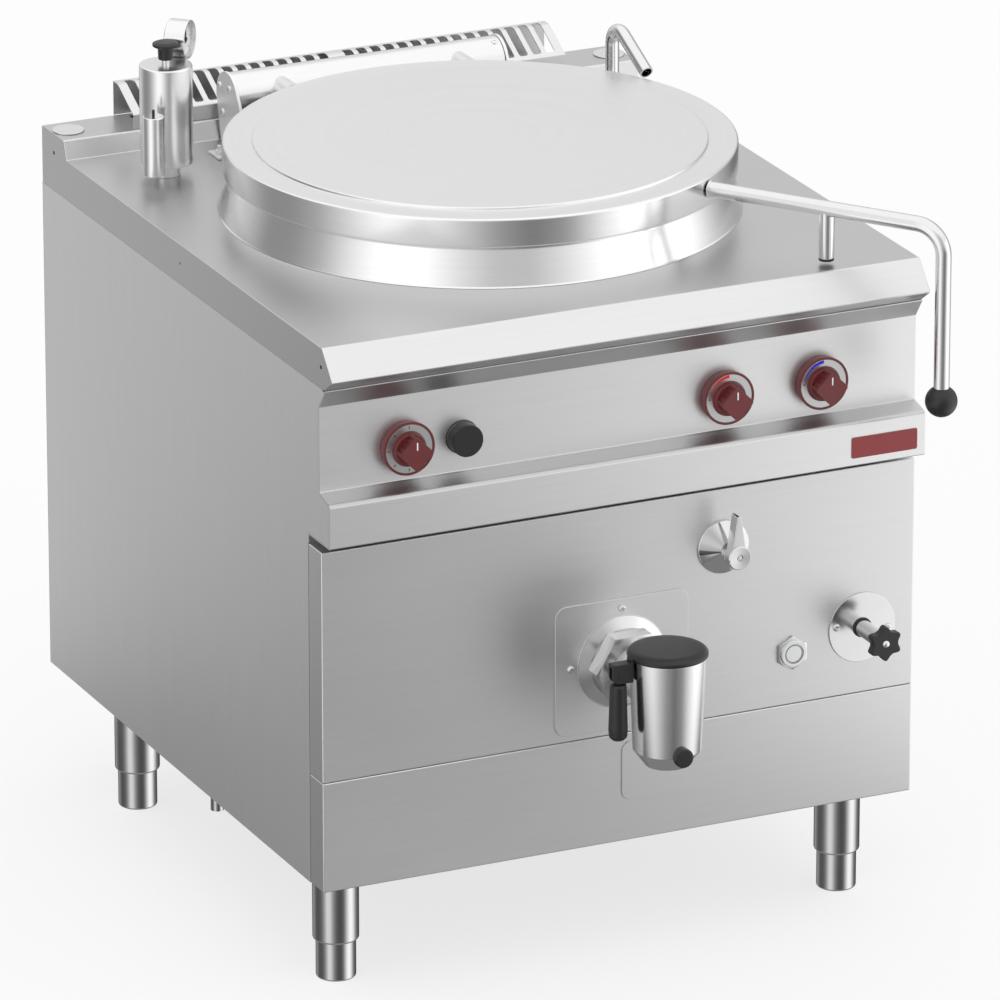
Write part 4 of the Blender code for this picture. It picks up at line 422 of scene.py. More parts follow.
def shifted(path, distance):
    """Copy of a 2D path moved sideways, to the left of its direction."""
    result = []
    for i, point in enumerate(path):
        before = path[max(i - 1, 0)]
        after = path[min(i + 1, len(path) - 1)]
        one = (point - before) if i else (after - point)
        two = (after - point) if i < len(path) - 1 else (point - before)
        left_one = Vector((-one.y, one.x)).normalized()
        left_two = Vector((-two.y, two.x)).normalized()
        middle = (left_one + left_two).normalized()
        result.append(point + middle * (distance / middle.dot(left_one)))
    return result


def rounded_rectangle(width, height, radius, steps=8):
    points = []
    for k, (sx, sy) in enumerate(((1, 1), (-1, 1), (-1, -1), (1, -1))):
        centre = (sx * (width / 2 - radius), sy * (height / 2 - radius))
        points += arc(centre, radius, k * pi / 2, (k + 1) * pi / 2, steps)
    return points


def as_mesh(work):
    """End a bmesh as a plain mesh."""
    mesh = bpy.data.meshes.new("shape")
    work.to_mesh(mesh)
    work.free()
    return mesh


def cleaned(work):
    bmesh.ops.remove_doubles(work, verts=work.verts, dist=1e-6)
    bmesh.ops.recalc_face_normals(work, faces=work.faces)
    return as_mesh(work)


def extrude(work, corners, way):
    """Draw a face through the corners out along a vector."""
    end = work.faces.new([work.verts.new(corner) for corner in corners])
    made = bmesh.ops.extrude_face_region(work, geom=[end])
    moved = [item for item in made["geom"] if isinstance(item, bmesh.types.BMVert)]
    bmesh.ops.translate(work, verts=moved, vec=way)


def turned(profile, steps=96, closed=False):
    """Profile of (radius, height) pairs turned about local Z."""
    work = bmesh.new()
    rings = []
    for radius, height in profile:
        count = 1 if radius < 1e-6 else steps
        rings.append([
            work.verts.new((radius * cos(2 * pi * k / steps), radius * sin(2 * pi * k / steps), height))
            for k in range(count)
        ])
    pairs = list(zip(rings, rings[1:]))
    if closed:
        pairs.append((rings[-1], rings[0]))
    for one, two in pairs:
        for k in range(steps):
            after = (k + 1) % steps
            corners = [one[k % len(one)], two[k % len(two)], two[after % len(two)], one[after % len(one)]]
            unique = list(dict.fromkeys(corners))
            if len(unique) > 2:
                work.faces.new(unique)
    return cleaned(work)


def lathed(profile, radii, bends=5, steps=96, closed=False):
    """Turned profile with its inner corners rounded."""
    return turned(fillet(profile, radii, bends), steps, closed)


def washer(inner, outer, low, high):
    """Profile of a flat ring."""
    return [(inner, low), (outer, low), (outer, high), (inner, high)]


def pressed(path, thickness):
    """Turned sheet: a path from the axis outward, with its own thickness below it."""
    return turned(path + list(reversed(shifted(path, -thickness))), 160)


def box(low, high):
    work = bmesh.new()
    bmesh.ops.create_cube(work, size=1)
    size = Vector(high) - Vector(low)
    centre = (Vector(high) + Vector(low)) / 2
    matrix = Matrix.Translation(centre) @ Matrix.Diagonal((*size, 1))
    bmesh.ops.transform(work, verts=work.verts, matrix=matrix)
    return cleaned(work)


def plate(outline, low, high):
    """Closed outline in the XY plane drawn out along Z."""
    work = bmesh.new()
    extrude(work, [(x, y, low) for x, y in outline], (0, 0, high - low))
    return cleaned(work)


def drawn_out(path, half):
    """Open path of (depth, height) pairs drawn out along X, one sheet without thickness."""
    work = bmesh.new()
    rows = [[work.verts.new((x, depth, height)) for depth, height in path] for x in (-half, half)]
    for k in range(len(path) - 1):
        work.faces.new((rows[0][k], rows[0][k + 1], rows[1][k + 1], rows[1][k]))
    return as_mesh(work)


def placed(mesh, location=(0, 0, 0), rotation=(0, 0, 0)):
    mesh.transform(Matrix.Translation(location) @ Euler(rotation).to_matrix().to_4x4())
    return mesh


def joined(*meshes):
    work = bmesh.new()
    for mesh in meshes:
        work.from_mesh(mesh)
    return as_mesh(work)


def blank(data, name="blank"):
    thing = bpy.data.objects.new(name, data)
    bpy.context.scene.collection.objects.link(thing)
    return thing


def taken(thing):
    """The evaluated shape of a working object as a plain mesh; the object goes."""
    bpy.context.view_layer.update()
    graph = bpy.context.evaluated_depsgraph_get()
    mesh = bpy.data.meshes.new_from_object(thing.evaluated_get(graph), depsgraph=graph)
    bpy.data.objects.remove(thing, do_unlink=True)
    return mesh


def modified(mesh, *steps):
    """The mesh after a stack of modifiers, each given as (type, settings)."""
    thing = blank(mesh)
    for kind, settings in steps:
        modifier = thing.modifiers.new(kind, kind)
        for name, value in settings.items():
            setattr(modifier, name, value)
    return taken(thing)


def bevel(width, segments, angle):
    limit = {"limit_method": "ANGLE", "angle_limit": radians(angle)}
    return "BEVEL", {"width": width, "segments": segments, **limit}


def thickened(thickness, offset):
    return "SOLIDIFY", {"thickness": thickness, "offset": offset, "use_even_offset": True}


def eased(mesh, width, segments=3, angle=30):
    return modified(mesh, bevel(width, segments, angle))


def folded(work, fold, is_open):
    """Sheet round a solid without the faces of its open side, with rounded folds."""
    gone = [face for face in work.faces if is_open(face.normal)]
    bmesh.ops.delete(work, geom=gone, context="FACES")
    return modified(as_mesh(work), bevel(fold, 4, 60), thickened(SHEET, -1))


def combined(mesh, others, operation):
    things = [blank(other) for other in others]
    steps = [("BOOLEAN", {"operation": operation, "solver": "EXACT", "object": thing}) for thing in things]
    result = modified(mesh, *steps)
    for thing in things:
        bpy.data.objects.remove(thing, do_unlink=True)
    return result


def cut(mesh, *others):
    return combined(mesh, others, "DIFFERENCE")


def welded(mesh, *others):
    return combined(mesh, others, "UNION")


def rod(radius, low, high, steps=64, ease=0.0):
    profile = [(0, low), (radius, low), (radius, high), (0, high)]
    return lathed(profile, [ease, ease], 4, steps) if ease else turned(profile, steps)


def nut(across, low, high, turn=0.0, ease=0.0022):
    """Hexagon with its corners chamfered by a cone at both ends."""
    corner = across / 2 / cos(pi / 6)
    angles = [turn + k * pi / 3 for k in range(6)]
    prism = plate([(corner * cos(angle), corner * sin(angle)) for angle in angles], low, high)
    inner = across / 2 * 0.985
    outer = corner * 1.01
    cone = turned(
        [(0, low), (inner, low), (outer, low + ease), (outer, high - ease), (inner, high), (0, high)],
    )
    return eased(combined(prism, [cone], "INTERSECT"), 0.0003, 2, 20)


# Geometry Nodes trees

class Growth(Nodes):
    """A Geometry Nodes tree with named inputs for its sizes."""

    KINDS = {"float": "NodeSocketFloat", "int": "NodeSocketInt", "vector": "NodeSocketVector",
             "material": "NodeSocketMaterial", "object": "NodeSocketObject"}

    def __init__(self, name, **inputs):
        super().__init__(bpy.data.node_groups.new(name, "GeometryNodeTree"))
        sockets = self.tree.interface
        sockets.new_socket("Geometry", in_out="INPUT", socket_type="NodeSocketGeometry")
        sockets.new_socket("Geometry", in_out="OUTPUT", socket_type="NodeSocketGeometry")
        for label, kind in inputs.items():
            sockets.new_socket(label, in_out="INPUT", socket_type=self.KINDS[kind])
        self.entry = self.node("NodeGroupInput")

    def given(self, label):
        return self.entry.out(label)

    def line(self, offset, **sockets):
        sockets = {"Count": self.given("Count"), "Offset": offset, **sockets}
        return self.node("GeometryNodeMeshLine", {}, sockets)

    def copies(self, points, instance, **sockets):
        sockets = {"Points": points, "Instance": instance, **sockets}
        return self.node("GeometryNodeInstanceOnPoints", {}, sockets)

    def close(self, geometry):
        """End the tree in Realize Instances and Set Material."""
        real = self.node("GeometryNodeRealizeInstances", {}, {"Geometry": geometry})
        sockets = {"Geometry": real, "Material": self.given("Finish")}
        self.end("NodeGroupOutput", self.node("GeometryNodeSetMaterial", {}, sockets))
        return self

    def grow(self, seed, **sizes):
        """The tree's result on a seed mesh or curve, as a plain mesh."""
        thing = blank(seed)
        modifier = thing.modifiers.new(self.tree.name, "NODES")
        modifier.node_group = self.tree
        for item in self.tree.interface.items_tree:
            if item.item_type == "SOCKET" and item.in_out == "INPUT" and item.name in sizes:
                modifier[item.identifier] = sizes[item.name]
        return taken(thing)


def tube_growth():
    growth = Growth("bent_tube", Radius="float", Sides="int", Finish="material")
    sockets = {"Resolution": growth.given("Sides"), "Radius": growth.given("Radius")}
    ring = growth.node("GeometryNodeCurvePrimitiveCircle", {}, sockets)
    sockets = {"Curve": growth.given("Geometry"), "Profile Curve": ring, "Fill Caps": True}
    return growth.close(growth.node("GeometryNodeCurveToMesh", {}, sockets))


def ring_growth():
    sizes = {"Count": "int", "Radius": "float", "Start": "float", "Step": "float"}
    growth = Growth("ring_of_pieces", **sizes, Finish="material")
    line = growth.line((0, 0, 0))
    angle = growth.given("Start") + growth.node("GeometryNodeInputIndex") * growth.given("Step")
    across = growth.given("Radius") * angle.calc("COSINE", angle)
    along = growth.given("Radius") * angle.calc("SINE", angle)
    sockets = {"Geometry": line, "Position": growth.combined(x=across, y=along)}
    spread = growth.node("GeometryNodeSetPosition", {}, sockets)
    return growth.close(growth.copies(spread, growth.given("Geometry"), Rotation=growth.combined(z=angle)))


def row_growth():
    growth = Growth("row_of_pieces", Count="int", Pitch="vector", Finish="material")
    return growth.close(growth.copies(growth.line(growth.given("Pitch")), growth.given("Geometry")))


def slotted_growth():
    """Two mirrored rows of slots cut out of a folded sheet."""
    sizes = {"Count": "int", "Start": "float", "Pitch": "float"}
    growth = Growth("slotted_sheet", Cutter="object", **sizes, Finish="material")
    tool = growth.node("GeometryNodeObjectInfo", {}, {"Object": growth.given("Cutter")}, "Geometry")
    both = growth.node("GeometryNodeJoinGeometry")
    for side in (-1.0, 1.0):
        begin = growth.combined(x=growth.given("Start") * side)
        line = growth.line(growth.combined(x=growth.given("Pitch") * side), **{"Start Location": begin})
        growth.tree.links.new(growth.copies(line, tool).socket, both.node.inputs[0])
    cutters = growth.node("GeometryNodeRealizeInstances", {}, {"Geometry": both})
    sockets = {"Mesh 1": growth.given("Geometry"), "Mesh 2": cutters}
    return growth.close(growth.node("GeometryNodeMeshBoolean", {"operation": "DIFFERENCE"}, sockets))


TUBES = tube_growth()
RINGS = ring_growth()
ROWS = row_growth()
SLOTTED = slotted_growth()


def tube(points, radius):
    curve = bpy.data.curves.new("path", "CURVE")
    curve.dimensions = "3D"
    spline = curve.splines.new("POLY")
    spline.points.add(len(points) - 1)
    for target, point in zip(spline.points, points):
        target.co = (*point, 1)
    return TUBES.grow(curve, Radius=radius, Sides=40, Finish=TUBE)


def ring_of(mesh, count, radius, start, step):
    return RINGS.grow(mesh, Count=count, Radius=radius, Start=start, Step=step, Finish=TURNED)


def row_of(mesh, count, pitch):
    return ROWS.grow(mesh, Count=count, Pitch=pitch, Finish=TURNED)


def piece(name, mesh, finish, body="cabinet", stands_for=(), slot=None, sharp=32):
    """Put a finished mesh in place, shaded smooth between its sharp edges, and let it ride."""
    mesh.transform(Matrix.Translation((0, FRONT_Y, 0)))
    mesh.name = name
    mesh.materials.clear()
    mesh.materials.append(finish)
    mesh.polygons.foreach_set("material_index", [0] * len(mesh.polygons))
    mesh.shade_smooth()
    mesh.set_sharp_from_angle(angle=radians(sharp))
    mesh = modified(mesh, ("WEIGHTED_NORMAL", {"keep_sharp": True}))
    mesh.name = name
    thing = blank(mesh, name)
    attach(thing, body)
    if stands_for:
        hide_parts(stands_for)
    return thing


def front_piece(name, mesh, at, finish, **options):
    """A piece whose own Z axis points out of the front."""
    return piece(name, placed(mesh, at, TO_FRONT), finish, **options)


def second_finish(thing, finish, chosen):
    """Give the faces whose normal is chosen another finish."""
    thing.data.materials.append(finish)
    for face in thing.data.polygons:
        if chosen(face.normal):
            face.material_index = 1


def dress(finish, *nodes):
    for node in nodes:
        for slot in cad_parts[node].material_slots:
            slot.material = finish


def dome_screw(radius, height):
    """Round-head screw with a cross recess."""
    dome = arc((radius - height * 0.9, 0), height, pi / 2, 0, 5)[1:]
    head = turned([(0, height)] + dome + [(radius, -GAP), (0, -GAP)], 24)
    arm = radius * 0.5
    wide = radius * 0.13
    recess = [box((-x, -y, height * 0.45), (x, y, height * 2)) for x, y in ((arm, wide), (wide, arm))]
    return cut(head, *recess)


# Cabinet

def make_worktop():
    corners = [
        (NOSE_LIP, SKIRT_Z), (0, NOSE_Z), (BEVEL_DEPTH, TOP_Z), (RISE_FRONT, TOP_Z),
        (RISE_FRONT + RISE_SLOPE, RISE_Z), (DEPTH, RISE_Z), (DEPTH, SKIRT_Z),
    ]
    path = fillet(corners, [0.0022, 0.0045, 0.0015, 0.0030, 0.0030], 6)
    work = bmesh.new()
    extrude(work, [(-HALF, depth, height) for depth, height in path], (2 * HALF, 0, 0))
    bmesh.ops.recalc_face_normals(work, faces=work.faces)
    shell = folded(work, 0.0018, lambda normal: normal.z < -0.98)
    openings = [placed(rod(OPENING_R, TOP_Z - PAST, TOP_Z + PAST, 128), (0, BOWL_D, 0))]
    openings.append(box((-0.285, 0.8455, RISE_Z - PAST), (0.285, 0.8885, RISE_Z + PAST)))
    holes = ((0.033, SKIRT_HOLE_Z, 0.0026), (0.458, SKIRT_HOLE_Z, 0.0016), (0.860, 0.8525, 0.0026))
    for depth, height, radius in holes:
        openings.append(placed(rod(radius, -PAST, PAST, 24), (-HALF, depth, height), TO_SIDE))
    sheet = piece("worktop_sheet", cut(shell, *openings), WORKTOP, stands_for="worktop")
    # The nose bevel's faces get the lighter steel: a painted highlight.
    second_finish(sheet, NOSE_PAINTED_HIGHLIGHT, lambda normal: normal.y < -0.3 and normal.z > 0.2)
    plug = lathed([(0, 0.0006), (0.0025, 0.0006), (0.0025, -0.001), (0, -0.001)], [0.0005, 0], 3, 32)
    piece("skirt_plug", placed(plug, (-HALF + 0.0008, 0.053, SKIRT_HOLE_Z), (0, -pi / 2, 0)), YELLOW_PLUG)
    for name, side in (("rise_cap_left", -1), ("rise_cap_right", 1)):
        cap = lathed([(0, 0.0016), (RISE_CAP_R, 0.0016), (RISE_CAP_R, 0), (0, 0)], [0.0008, 0], 4, 64)
        spot = (side * RISE_CAP_AT[0], RISE_CAP_AT[1], RISE_Z + GAP)
        piece(name + "_disc", placed(cap, spot), SHEET_ACROSS, stands_for=name)


def make_control_panel():
    path = fillet(
        [(STRIP_TOP + 0.007, SKIRT_Z - GAP), (STRIP_TOP - 0.0007, SKIRT_Z - GAP), (FACE_D, FACE_TOP_Z),
         (FACE_D, LEDGE_Z), (BAND_D, LEDGE_NOSE_Z), (BAND_D, BAND_Z), (RETURN_D, BAND_Z)],
        [0.0011, 0.0022, 0.0022, 0.0060, 0.0022], 8,
    )
    sheet = modified(drawn_out(path, HALF), thickened(SHEET, -1))
    # The panel's steel is painted lighter to offset the shade under the nose.
    panel = piece("control_panel_sheet", sheet, CONTROL_SHEET_PAINTED_LIGHT, stands_for="control_panel")
    # The sloped folds get the darker steel: painted shade.
    second_finish(panel, CONTROL_FOLDS_PAINTED_SHADE, lambda normal: 0.3 < abs(normal.z) < 0.99)
    badge = eased(plate(rounded_rectangle(0.090, 0.027, 0.0025), 0.0001, 0.0010), 0.0003, 2, 40)
    front_piece("badge_plate", badge, (0.344, BAND_D, 0.6275), BADGE_RED)


def tray(low_z, high_z):
    """Tray as wide as the cabinet, open to the back."""
    work = bmesh.new()
    work.from_mesh(box((-HALF, PANEL_D, low_z), (HALF, RETURN_D, high_z)))
    return folded(work, 0.0016, lambda normal: normal.y > 0.98)


def make_front():
    holes = [
        placed(rod(radius, -PAST, PAST), spot, TO_FRONT)
        for spot, radius in (
            (DRAIN_AT, DRAIN_R + GAP), (LEVER_AT, LEVER_HOLE_R),
            (BUTTON_AT, BUTTON_HOLE_R), (STAR_AT, STAR_HOLE_R),
        )
    ]
    sheet = cut(tray(PANEL_SPLIT_Z, PANEL_TOP_Z), *holes)
    piece("front_panel_sheet", sheet, SHEET_ACROSS, stands_for="front_panel")
    piece("kick_panel_sheet", tray(BASE_Z, PANEL_SPLIT_Z - SEAM), SHEET_ACROSS, stands_for="kick_panel")
    cover = eased(plate(rounded_rectangle(0.088, 0.0765, 0.012), GAP, GAP + THIN_SHEET), 0.0003, 2, 40)
    front_piece("inspection_cover_sheet", cover, COVER_AT, SHEET_ACROSS, stands_for="inspection_cover")


def make_legs():
    for name, x, depth in (
        ("foot_front_left", -LEG_X, LEG_FRONT), ("foot_front_right", LEG_X, LEG_FRONT),
        ("foot_rear_left", -LEG_X, LEG_REAR), ("foot_rear_right", LEG_X, LEG_REAR),
    ):
        sleeve = lathed(
            [(SLEEVE_BORE, SLEEVE_Z), (SLEEVE_R, SLEEVE_Z), (SLEEVE_R, BASE_Z), (SLEEVE_BORE, BASE_Z)],
            [0.0036, 0], 8, closed=True,
        )
        piece("sleeve_" + name[5:], placed(sleeve, (x, depth, 0)), LEG_STEEL)
        foot = lathed([(0, FOOT_TOP_Z), (FOOT_R, FOOT_TOP_Z), (FOOT_R, 0), (0, 0)], [0.0015, 0.0030])
        piece(name + "_tube", placed(foot, (x, depth, 0)), LEG_STEEL, body=name, stands_for=name)


# Bowl, lid and hinge

def make_bowl():
    rim = (NECK_R - BOWL_R) / 2
    path = [Vector((0, BOWL_BOTTOM_Z))]
    path += arc((BOWL_R - BOWL_CORNER, BOWL_BOTTOM_Z + BOWL_CORNER), BOWL_CORNER, -pi / 2, 0, 8)
    path += arc((BOWL_R + rim, RIM_Z - rim), rim, pi, 0, 12)
    path += fillet(
        [(NECK_R, NECK_Z + 0.004), (NECK_R, NECK_Z), (FLARE_R - 0.0012, TOP_Z + 0.0023),
         (FLARE_R, TOP_Z + GAP)],
        [0.008, 0.002], 6,
    )
    shell = placed(pressed(path, SHELL), (0, BOWL_D, 0))
    reach = BOWL_D - BOWL_R - PANEL_D
    bore = placed(rod(DRAIN_BORE_R, -reach - 0.03, -reach + PAST), DRAIN_AT, TO_FRONT)
    piece("bowl_and_collar", cut(shell, bore), COLLAR, stands_for="vessel")


def make_lid():
    crown = (0, 0.05, 0.10, 0.15, 0.20, 0.24, 0.265)
    path = [Vector((r, LID_DISC_Z + LID_CROWN * (1 - (r / LID_DISC_R) ** 2))) for r in crown]
    path += fillet(
        [(0.2740, LID_DISC_Z + LID_CROWN * 0.06), (0.2822, LID_DISC_Z), (0.2834, LID_FLANGE_Z),
         (0.300, LID_FLANGE_Z)],
        [0.0018, 0.0004], 6,
    )
    path += arc((LID_R - LID_EDGE, LID_FLANGE_Z - LID_EDGE), LID_EDGE, pi / 2, 0, 8)
    path += arc((LID_R - 0.0016, LID_SKIRT_Z + 0.0016), 0.0016, 0, -pi / 2, 5)
    path.append(Vector((LID_R - 0.0042, LID_SKIRT_Z)))
    mesh = placed(pressed(path, SHEET), (0, BOWL_D, 0))
    lid = piece("lid_pressing", mesh, LID_TOP, body="lid_body", stands_for="lid")
    second_finish(lid, LID_BAND, lambda normal: abs(normal.z) < 0.7)


def make_lid_handle():
    root = Vector((cos(HANDLE_ROOT_ANGLE), sin(HANDLE_ROOT_ANGLE), 0)) * (LID_R + 0.0012)
    root += Vector((0, BOWL_D, HANDLE_Z))
    corner = Vector((HANDLE_END_X, HANDLE_END_D, HANDLE_Z))
    foot = Vector((HANDLE_END_X, HANDLE_END_D, BALL_Z + BALL_R - BALL_SOCKET))
    bar = tube(fillet([root, corner, foot], [HANDLE_BEND], 16), HANDLE_R)
    post = placed(rod(STOP_R, STOP_Z, HANDLE_Z - 0.002, 40, 0.0008), (STOP_X, STOP_D, 0))
    along = (corner - root).normalized()
    bead = [Vector((HANDLE_R - 0.001, -WELD_R))]
    bead += arc((HANDLE_R, 0), WELD_R, -pi / 2, pi / 2, 8)
    bead = turned(bead + [Vector((HANDLE_R - 0.001, WELD_R))], 48, closed=True)
    placed(bead, root + along * 0.0016, along.to_track_quat("Z", "Y").to_euler())
    piece("handle_bar", joined(bar, post, bead), TUBE, body="lid_body", stands_for="lid_handle")
    hole = HANDLE_R + GAP
    socket = BALL_R - BALL_SOCKET - GAP
    profile = [Vector((0, socket)), Vector((hole, socket))]
    profile += arc((0, 0), BALL_R, atan2((BALL_R ** 2 - hole ** 2) ** 0.5, hole), -pi / 2 + 0.02, 24)
    ball = placed(turned(profile + [Vector((0, -BALL_R))], 64), (HANDLE_END_X, HANDLE_END_D, BALL_Z))
    piece("handle_ball_grip", ball, BLACK_PLASTIC, body="lid_body", stands_for="handle_ball", sharp=60)


def make_hinge():
    ends = HINGE_HALF - PLATE_T - GAP
    barrel = lathed(
        [(SHAFT_R + GAP, ends), (HINGE_TUBE_R, ends), (HINGE_TUBE_R, -ends), (SHAFT_R + GAP, -ends)],
        [0.0008, 0.0008], 4, closed=True,
    )
    placed(barrel, (0, PIVOT_D, PIVOT_Z), TO_SIDE)
    arms = [
        placed(rod(ARM_R, -(PIVOT_D - BOWL_D - LID_R / 2), -0.012), (x, PIVOT_D, ARM_Z), (-pi / 2, 0, 0))
        for x in (-ARM_X, ARM_X)
    ]
    clear = placed(rod(LID_R + GAP, LID_SKIRT_Z - PAST, LID_FLANGE_Z + PAST, 160), (0, BOWL_D, 0))
    mesh = cut(welded(barrel, *arms), clear)
    tilt = radians(115)
    spot = (0.177, PIVOT_D + HINGE_TUBE_R * cos(tilt), PIVOT_Z + HINGE_TUBE_R * sin(tilt))
    screw = placed(dome_screw(0.0042, 0.0014), spot, (radians(25), 0, 0))
    barrel = joined(mesh, screw)
    piece("hinge_barrel", barrel, VALVE_STEEL, body="lid_body", stands_for="hinge_tube", slot="brushed")
    foot_z = TOP_Z + GAP
    outline = [Vector((PIVOT_D + 0.019, foot_z))]
    outline += arc((PIVOT_D, PIVOT_Z), PLATE_R, radians(-15), radians(150), 28)
    outline += [Vector((PIVOT_D - 0.040, PIVOT_Z - 0.004)), Vector((PIVOT_D - 0.0660, foot_z))]
    for name, side in (("hinge_plate_left", -1), ("hinge_plate_right", 1)):
        cheek = eased(plate(outline, -PLATE_T / 2, PLATE_T / 2), 0.0004, 2, 50)
        placed(cheek, (side * (HINGE_HALF - PLATE_T / 2), 0, 0), (pi / 2, 0, pi / 2))
        low_x, high_x = sorted((side * (HINGE_HALF - PLATE_T), side * (HINGE_HALF + 0.036)))
        flange = eased(box((low_x, 0.740, foot_z), (high_x, 0.774, foot_z + 0.003)), 0.0005, 2)
        outward = (0, side * pi / 2, 0)
        spots = [(side * HINGE_HALF, PIVOT_D + depth, PIVOT_Z + height) for depth, height in BOLT_OFFSETS]
        bolts = [placed(dome_screw(0.0045, 0.0026), spot, outward) for spot in spots]
        spot = (side * (HINGE_HALF + 0.028), 0.757, foot_z + 0.003)
        bolts.append(placed(nut(0.010, 0, 0.005, 0.4, 0.001), spot))
        bolts.append(placed(rod(0.0028, 0, 0.0110, 24, 0.0006), spot))
        piece(name + "_cheek", joined(cheek, flange, *bolts), SHEET_UPRIGHT, stands_for=name)


# Fittings on the worktop

def make_safety_valve():
    at = (VALVE_X, VALVE_D, 0)
    profile = [Vector((0, PULL_STEM_Z)), Vector((0.005, PULL_STEM_Z)), Vector((0.005, VALVE_TOP_Z))]
    profile += arc((VALVE_R - 0.0026, VALVE_TOP_Z - 0.0026), 0.0026, pi / 2, 0, 6)
    profile += arc((VALVE_R - 0.0022, VALVE_Z + 0.0022), 0.0022, 0, -pi / 2, 6)
    profile += fillet(
        [(VALVE_NECK_R, VALVE_Z), (VALVE_NECK_R, TOP_Z + 0.0010), (VALVE_NECK_R + 0.0007, TOP_Z + 0.0010),
         (VALVE_NECK_R + 0.0007, TOP_Z + GAP), (0, TOP_Z + GAP)],
        [0.0004, 0.0003, 0], 4,
    )
    saddle = rod(GAUGE_R + GAP, -GAUGE_DEPTH / 2 - GAP, GAUGE_DEPTH / 2 + VALVE_R)
    placed(saddle, GAUGE_AT, GAUGE_TURN)
    drum = cut(placed(turned(profile), at), saddle)
    piece("safety_valve_drum", drum, VALVE_STEEL, stands_for="safety_valve")
    pull = lathed(
        [(0, PULL_TOP_Z), (0.0110, PULL_TOP_Z - 0.0004), (0.0166, 1.0253), (0.0162, 1.0220), (0.0098, 1.0203),
         (0.00925, 1.0048), (0.0053, 1.0048), (0.0053, PULL_STEM_Z + GAP), (0, PULL_STEM_Z + GAP)],
        [0.006, 0.0014, 0.0012, 0.003, 0.001, 0, 0],
    )
    piece("safety_pull", placed(pull, at), BLACK_PLASTIC, body="pull_body", stands_for="safety_valve_knob")


def make_gauge():
    front = GAUGE_DEPTH / 2
    floor = front - GAUGE_RECESS
    wall = GAUGE_R - 0.0024
    case = lathed(
        [(0, floor - 0.001), (wall, floor - 0.001), (wall, front), (GAUGE_R, front), (GAUGE_R, -front),
         (0, -front)],
        [0, 0.0006, 0.0006, 0.0015], 4,
    )
    piece("gauge_drum", placed(case, GAUGE_AT, GAUGE_TURN), VALVE_STEEL, stands_for="gauge_case")
    dial = rod(wall - 0.0002, floor - 0.001, floor, 64, 0.0003)
    piece("gauge_dial", placed(dial, GAUGE_AT, GAUGE_TURN), WHITE_ENAMEL)
    start = radians(-45)
    tick = box((-0.0016, -0.0002, 0), (0.0016, 0.0002, 0.00012))
    ticks = ring_of(tick, 19, 0.0185, start, radians(15))
    long_tick = box((-0.0026, -0.00035, 0), (0.0026, 0.00035, 0.00014))
    long_ticks = ring_of(long_tick, 7, 0.0180, start, radians(45))
    marks = placed(joined(ticks, long_ticks), (0, 0, floor))
    piece("gauge_marks", placed(marks, GAUGE_AT, GAUGE_TURN), BLACK_PRINT)


def make_vacuum_valve():
    at = (VACUUM_X, VACUUM_D, 0)
    profile = [
        (0, VACUUM_TOP_Z), (VACUUM_R, VACUUM_TOP_Z), (VACUUM_R, VACUUM_Z), (VACUUM_NUB_R, VACUUM_Z),
        (VACUUM_NUB_R, VACUUM_NUB_Z), (0, VACUUM_NUB_Z),
    ]
    body = placed(lathed(profile, [0.0014, 0.0014, 0, 0.0008]), at)
    reach = hypot(VALVE_X - VACUUM_X, VALVE_D - VACUUM_D) - VALVE_R - GAP * 2
    heading = atan2(VALVE_D - VACUUM_D, VALVE_X - VACUUM_X)
    nipple = turned([(0, 0), (0.012, 0), (0.006, reach), (0, reach)], 64)
    placed(nipple, (VACUUM_X, VACUUM_D, 0.900), (0, pi / 2, heading))
    bore = placed(rod(0.0021, VACUUM_TOP_Z - 0.008, VACUUM_TOP_Z + PAST, 24), at)
    piece("vacuum_valve_barrel", cut(welded(body, nipple), bore), VALVE_STEEL, stands_for="vacuum_valve")


def make_spout():
    base_z = TOP_Z + GAP
    flange = lathed([(0, base_z), (0.021, base_z), (0.021, base_z + 0.004), (0, base_z + 0.004)], [0, 0.0012])
    hexagon = nut(0.027, base_z + 0.003, base_z + 0.015, 0.0, 0.0014)
    base = cut(welded(flange, hexagon), rod(SPOUT_R + GAP, base_z + 0.002, base_z + 0.03))
    piece("spout_socket", placed(base, (SPOUT_X, SPOUT_D, 0)), TURNED, stands_for="spout_base")
    peak = Vector((SPOUT_X, SPOUT_D, SPOUT_PEAK_Z))
    mouth = Vector(SPOUT_END)
    foot = Vector((SPOUT_X, SPOUT_D, base_z + 0.0023))
    bar = tube(fillet([foot, peak, mouth], [0.020], 14), SPOUT_R)
    outward = (mouth - peak).to_track_quat("Z", "Y").to_euler()
    bore = placed(rod(SPOUT_BORE_R, -0.030, PAST, 40), mouth, outward)
    piece("spout_bend", cut(bar, bore), TUBE, body="spout_body", stands_for="spout")


def make_grille():
    base = RISE_Z + GAP
    path = fillet(
        [(GRILLE_FRONT, base), (GRILLE_FRONT, GRILLE_LIP_Z), (DEPTH - GRILLE_FLAT, GRILLE_TOP_Z),
         (DEPTH - GAP, GRILLE_TOP_Z), (DEPTH - GAP, base)],
        [0.0018, 0.014, 0.0016], 10,
    )
    sheet = modified(drawn_out(path, GRILLE_HALF), thickened(THIN_SHEET, 1))
    low, high = GRILLE_FRONT + SLOT_FRONT, DEPTH - SLOT_BACK
    outline = [(x, y + (low + high) / 2) for x, y in rounded_rectangle(SLOT_WIDTH, high - low, 0.0030, 6)]
    tool = blank(plate(outline, GRILLE_LIP_Z, GRILLE_TOP_Z + PAST))
    first = (GRILLE_HALF - (SLOT_COUNT - 1) * SLOT_PITCH) / 2
    sizes = {"Count": SLOT_COUNT, "Start": first, "Pitch": SLOT_PITCH}
    mesh = SLOTTED.grow(sheet, Cutter=tool, **sizes, Finish=SHEET_ACROSS)
    bpy.data.objects.remove(tool, do_unlink=True)
    piece("grille_sheet", mesh, SHEET_ACROSS, stands_for="flue_grille")


# Controls

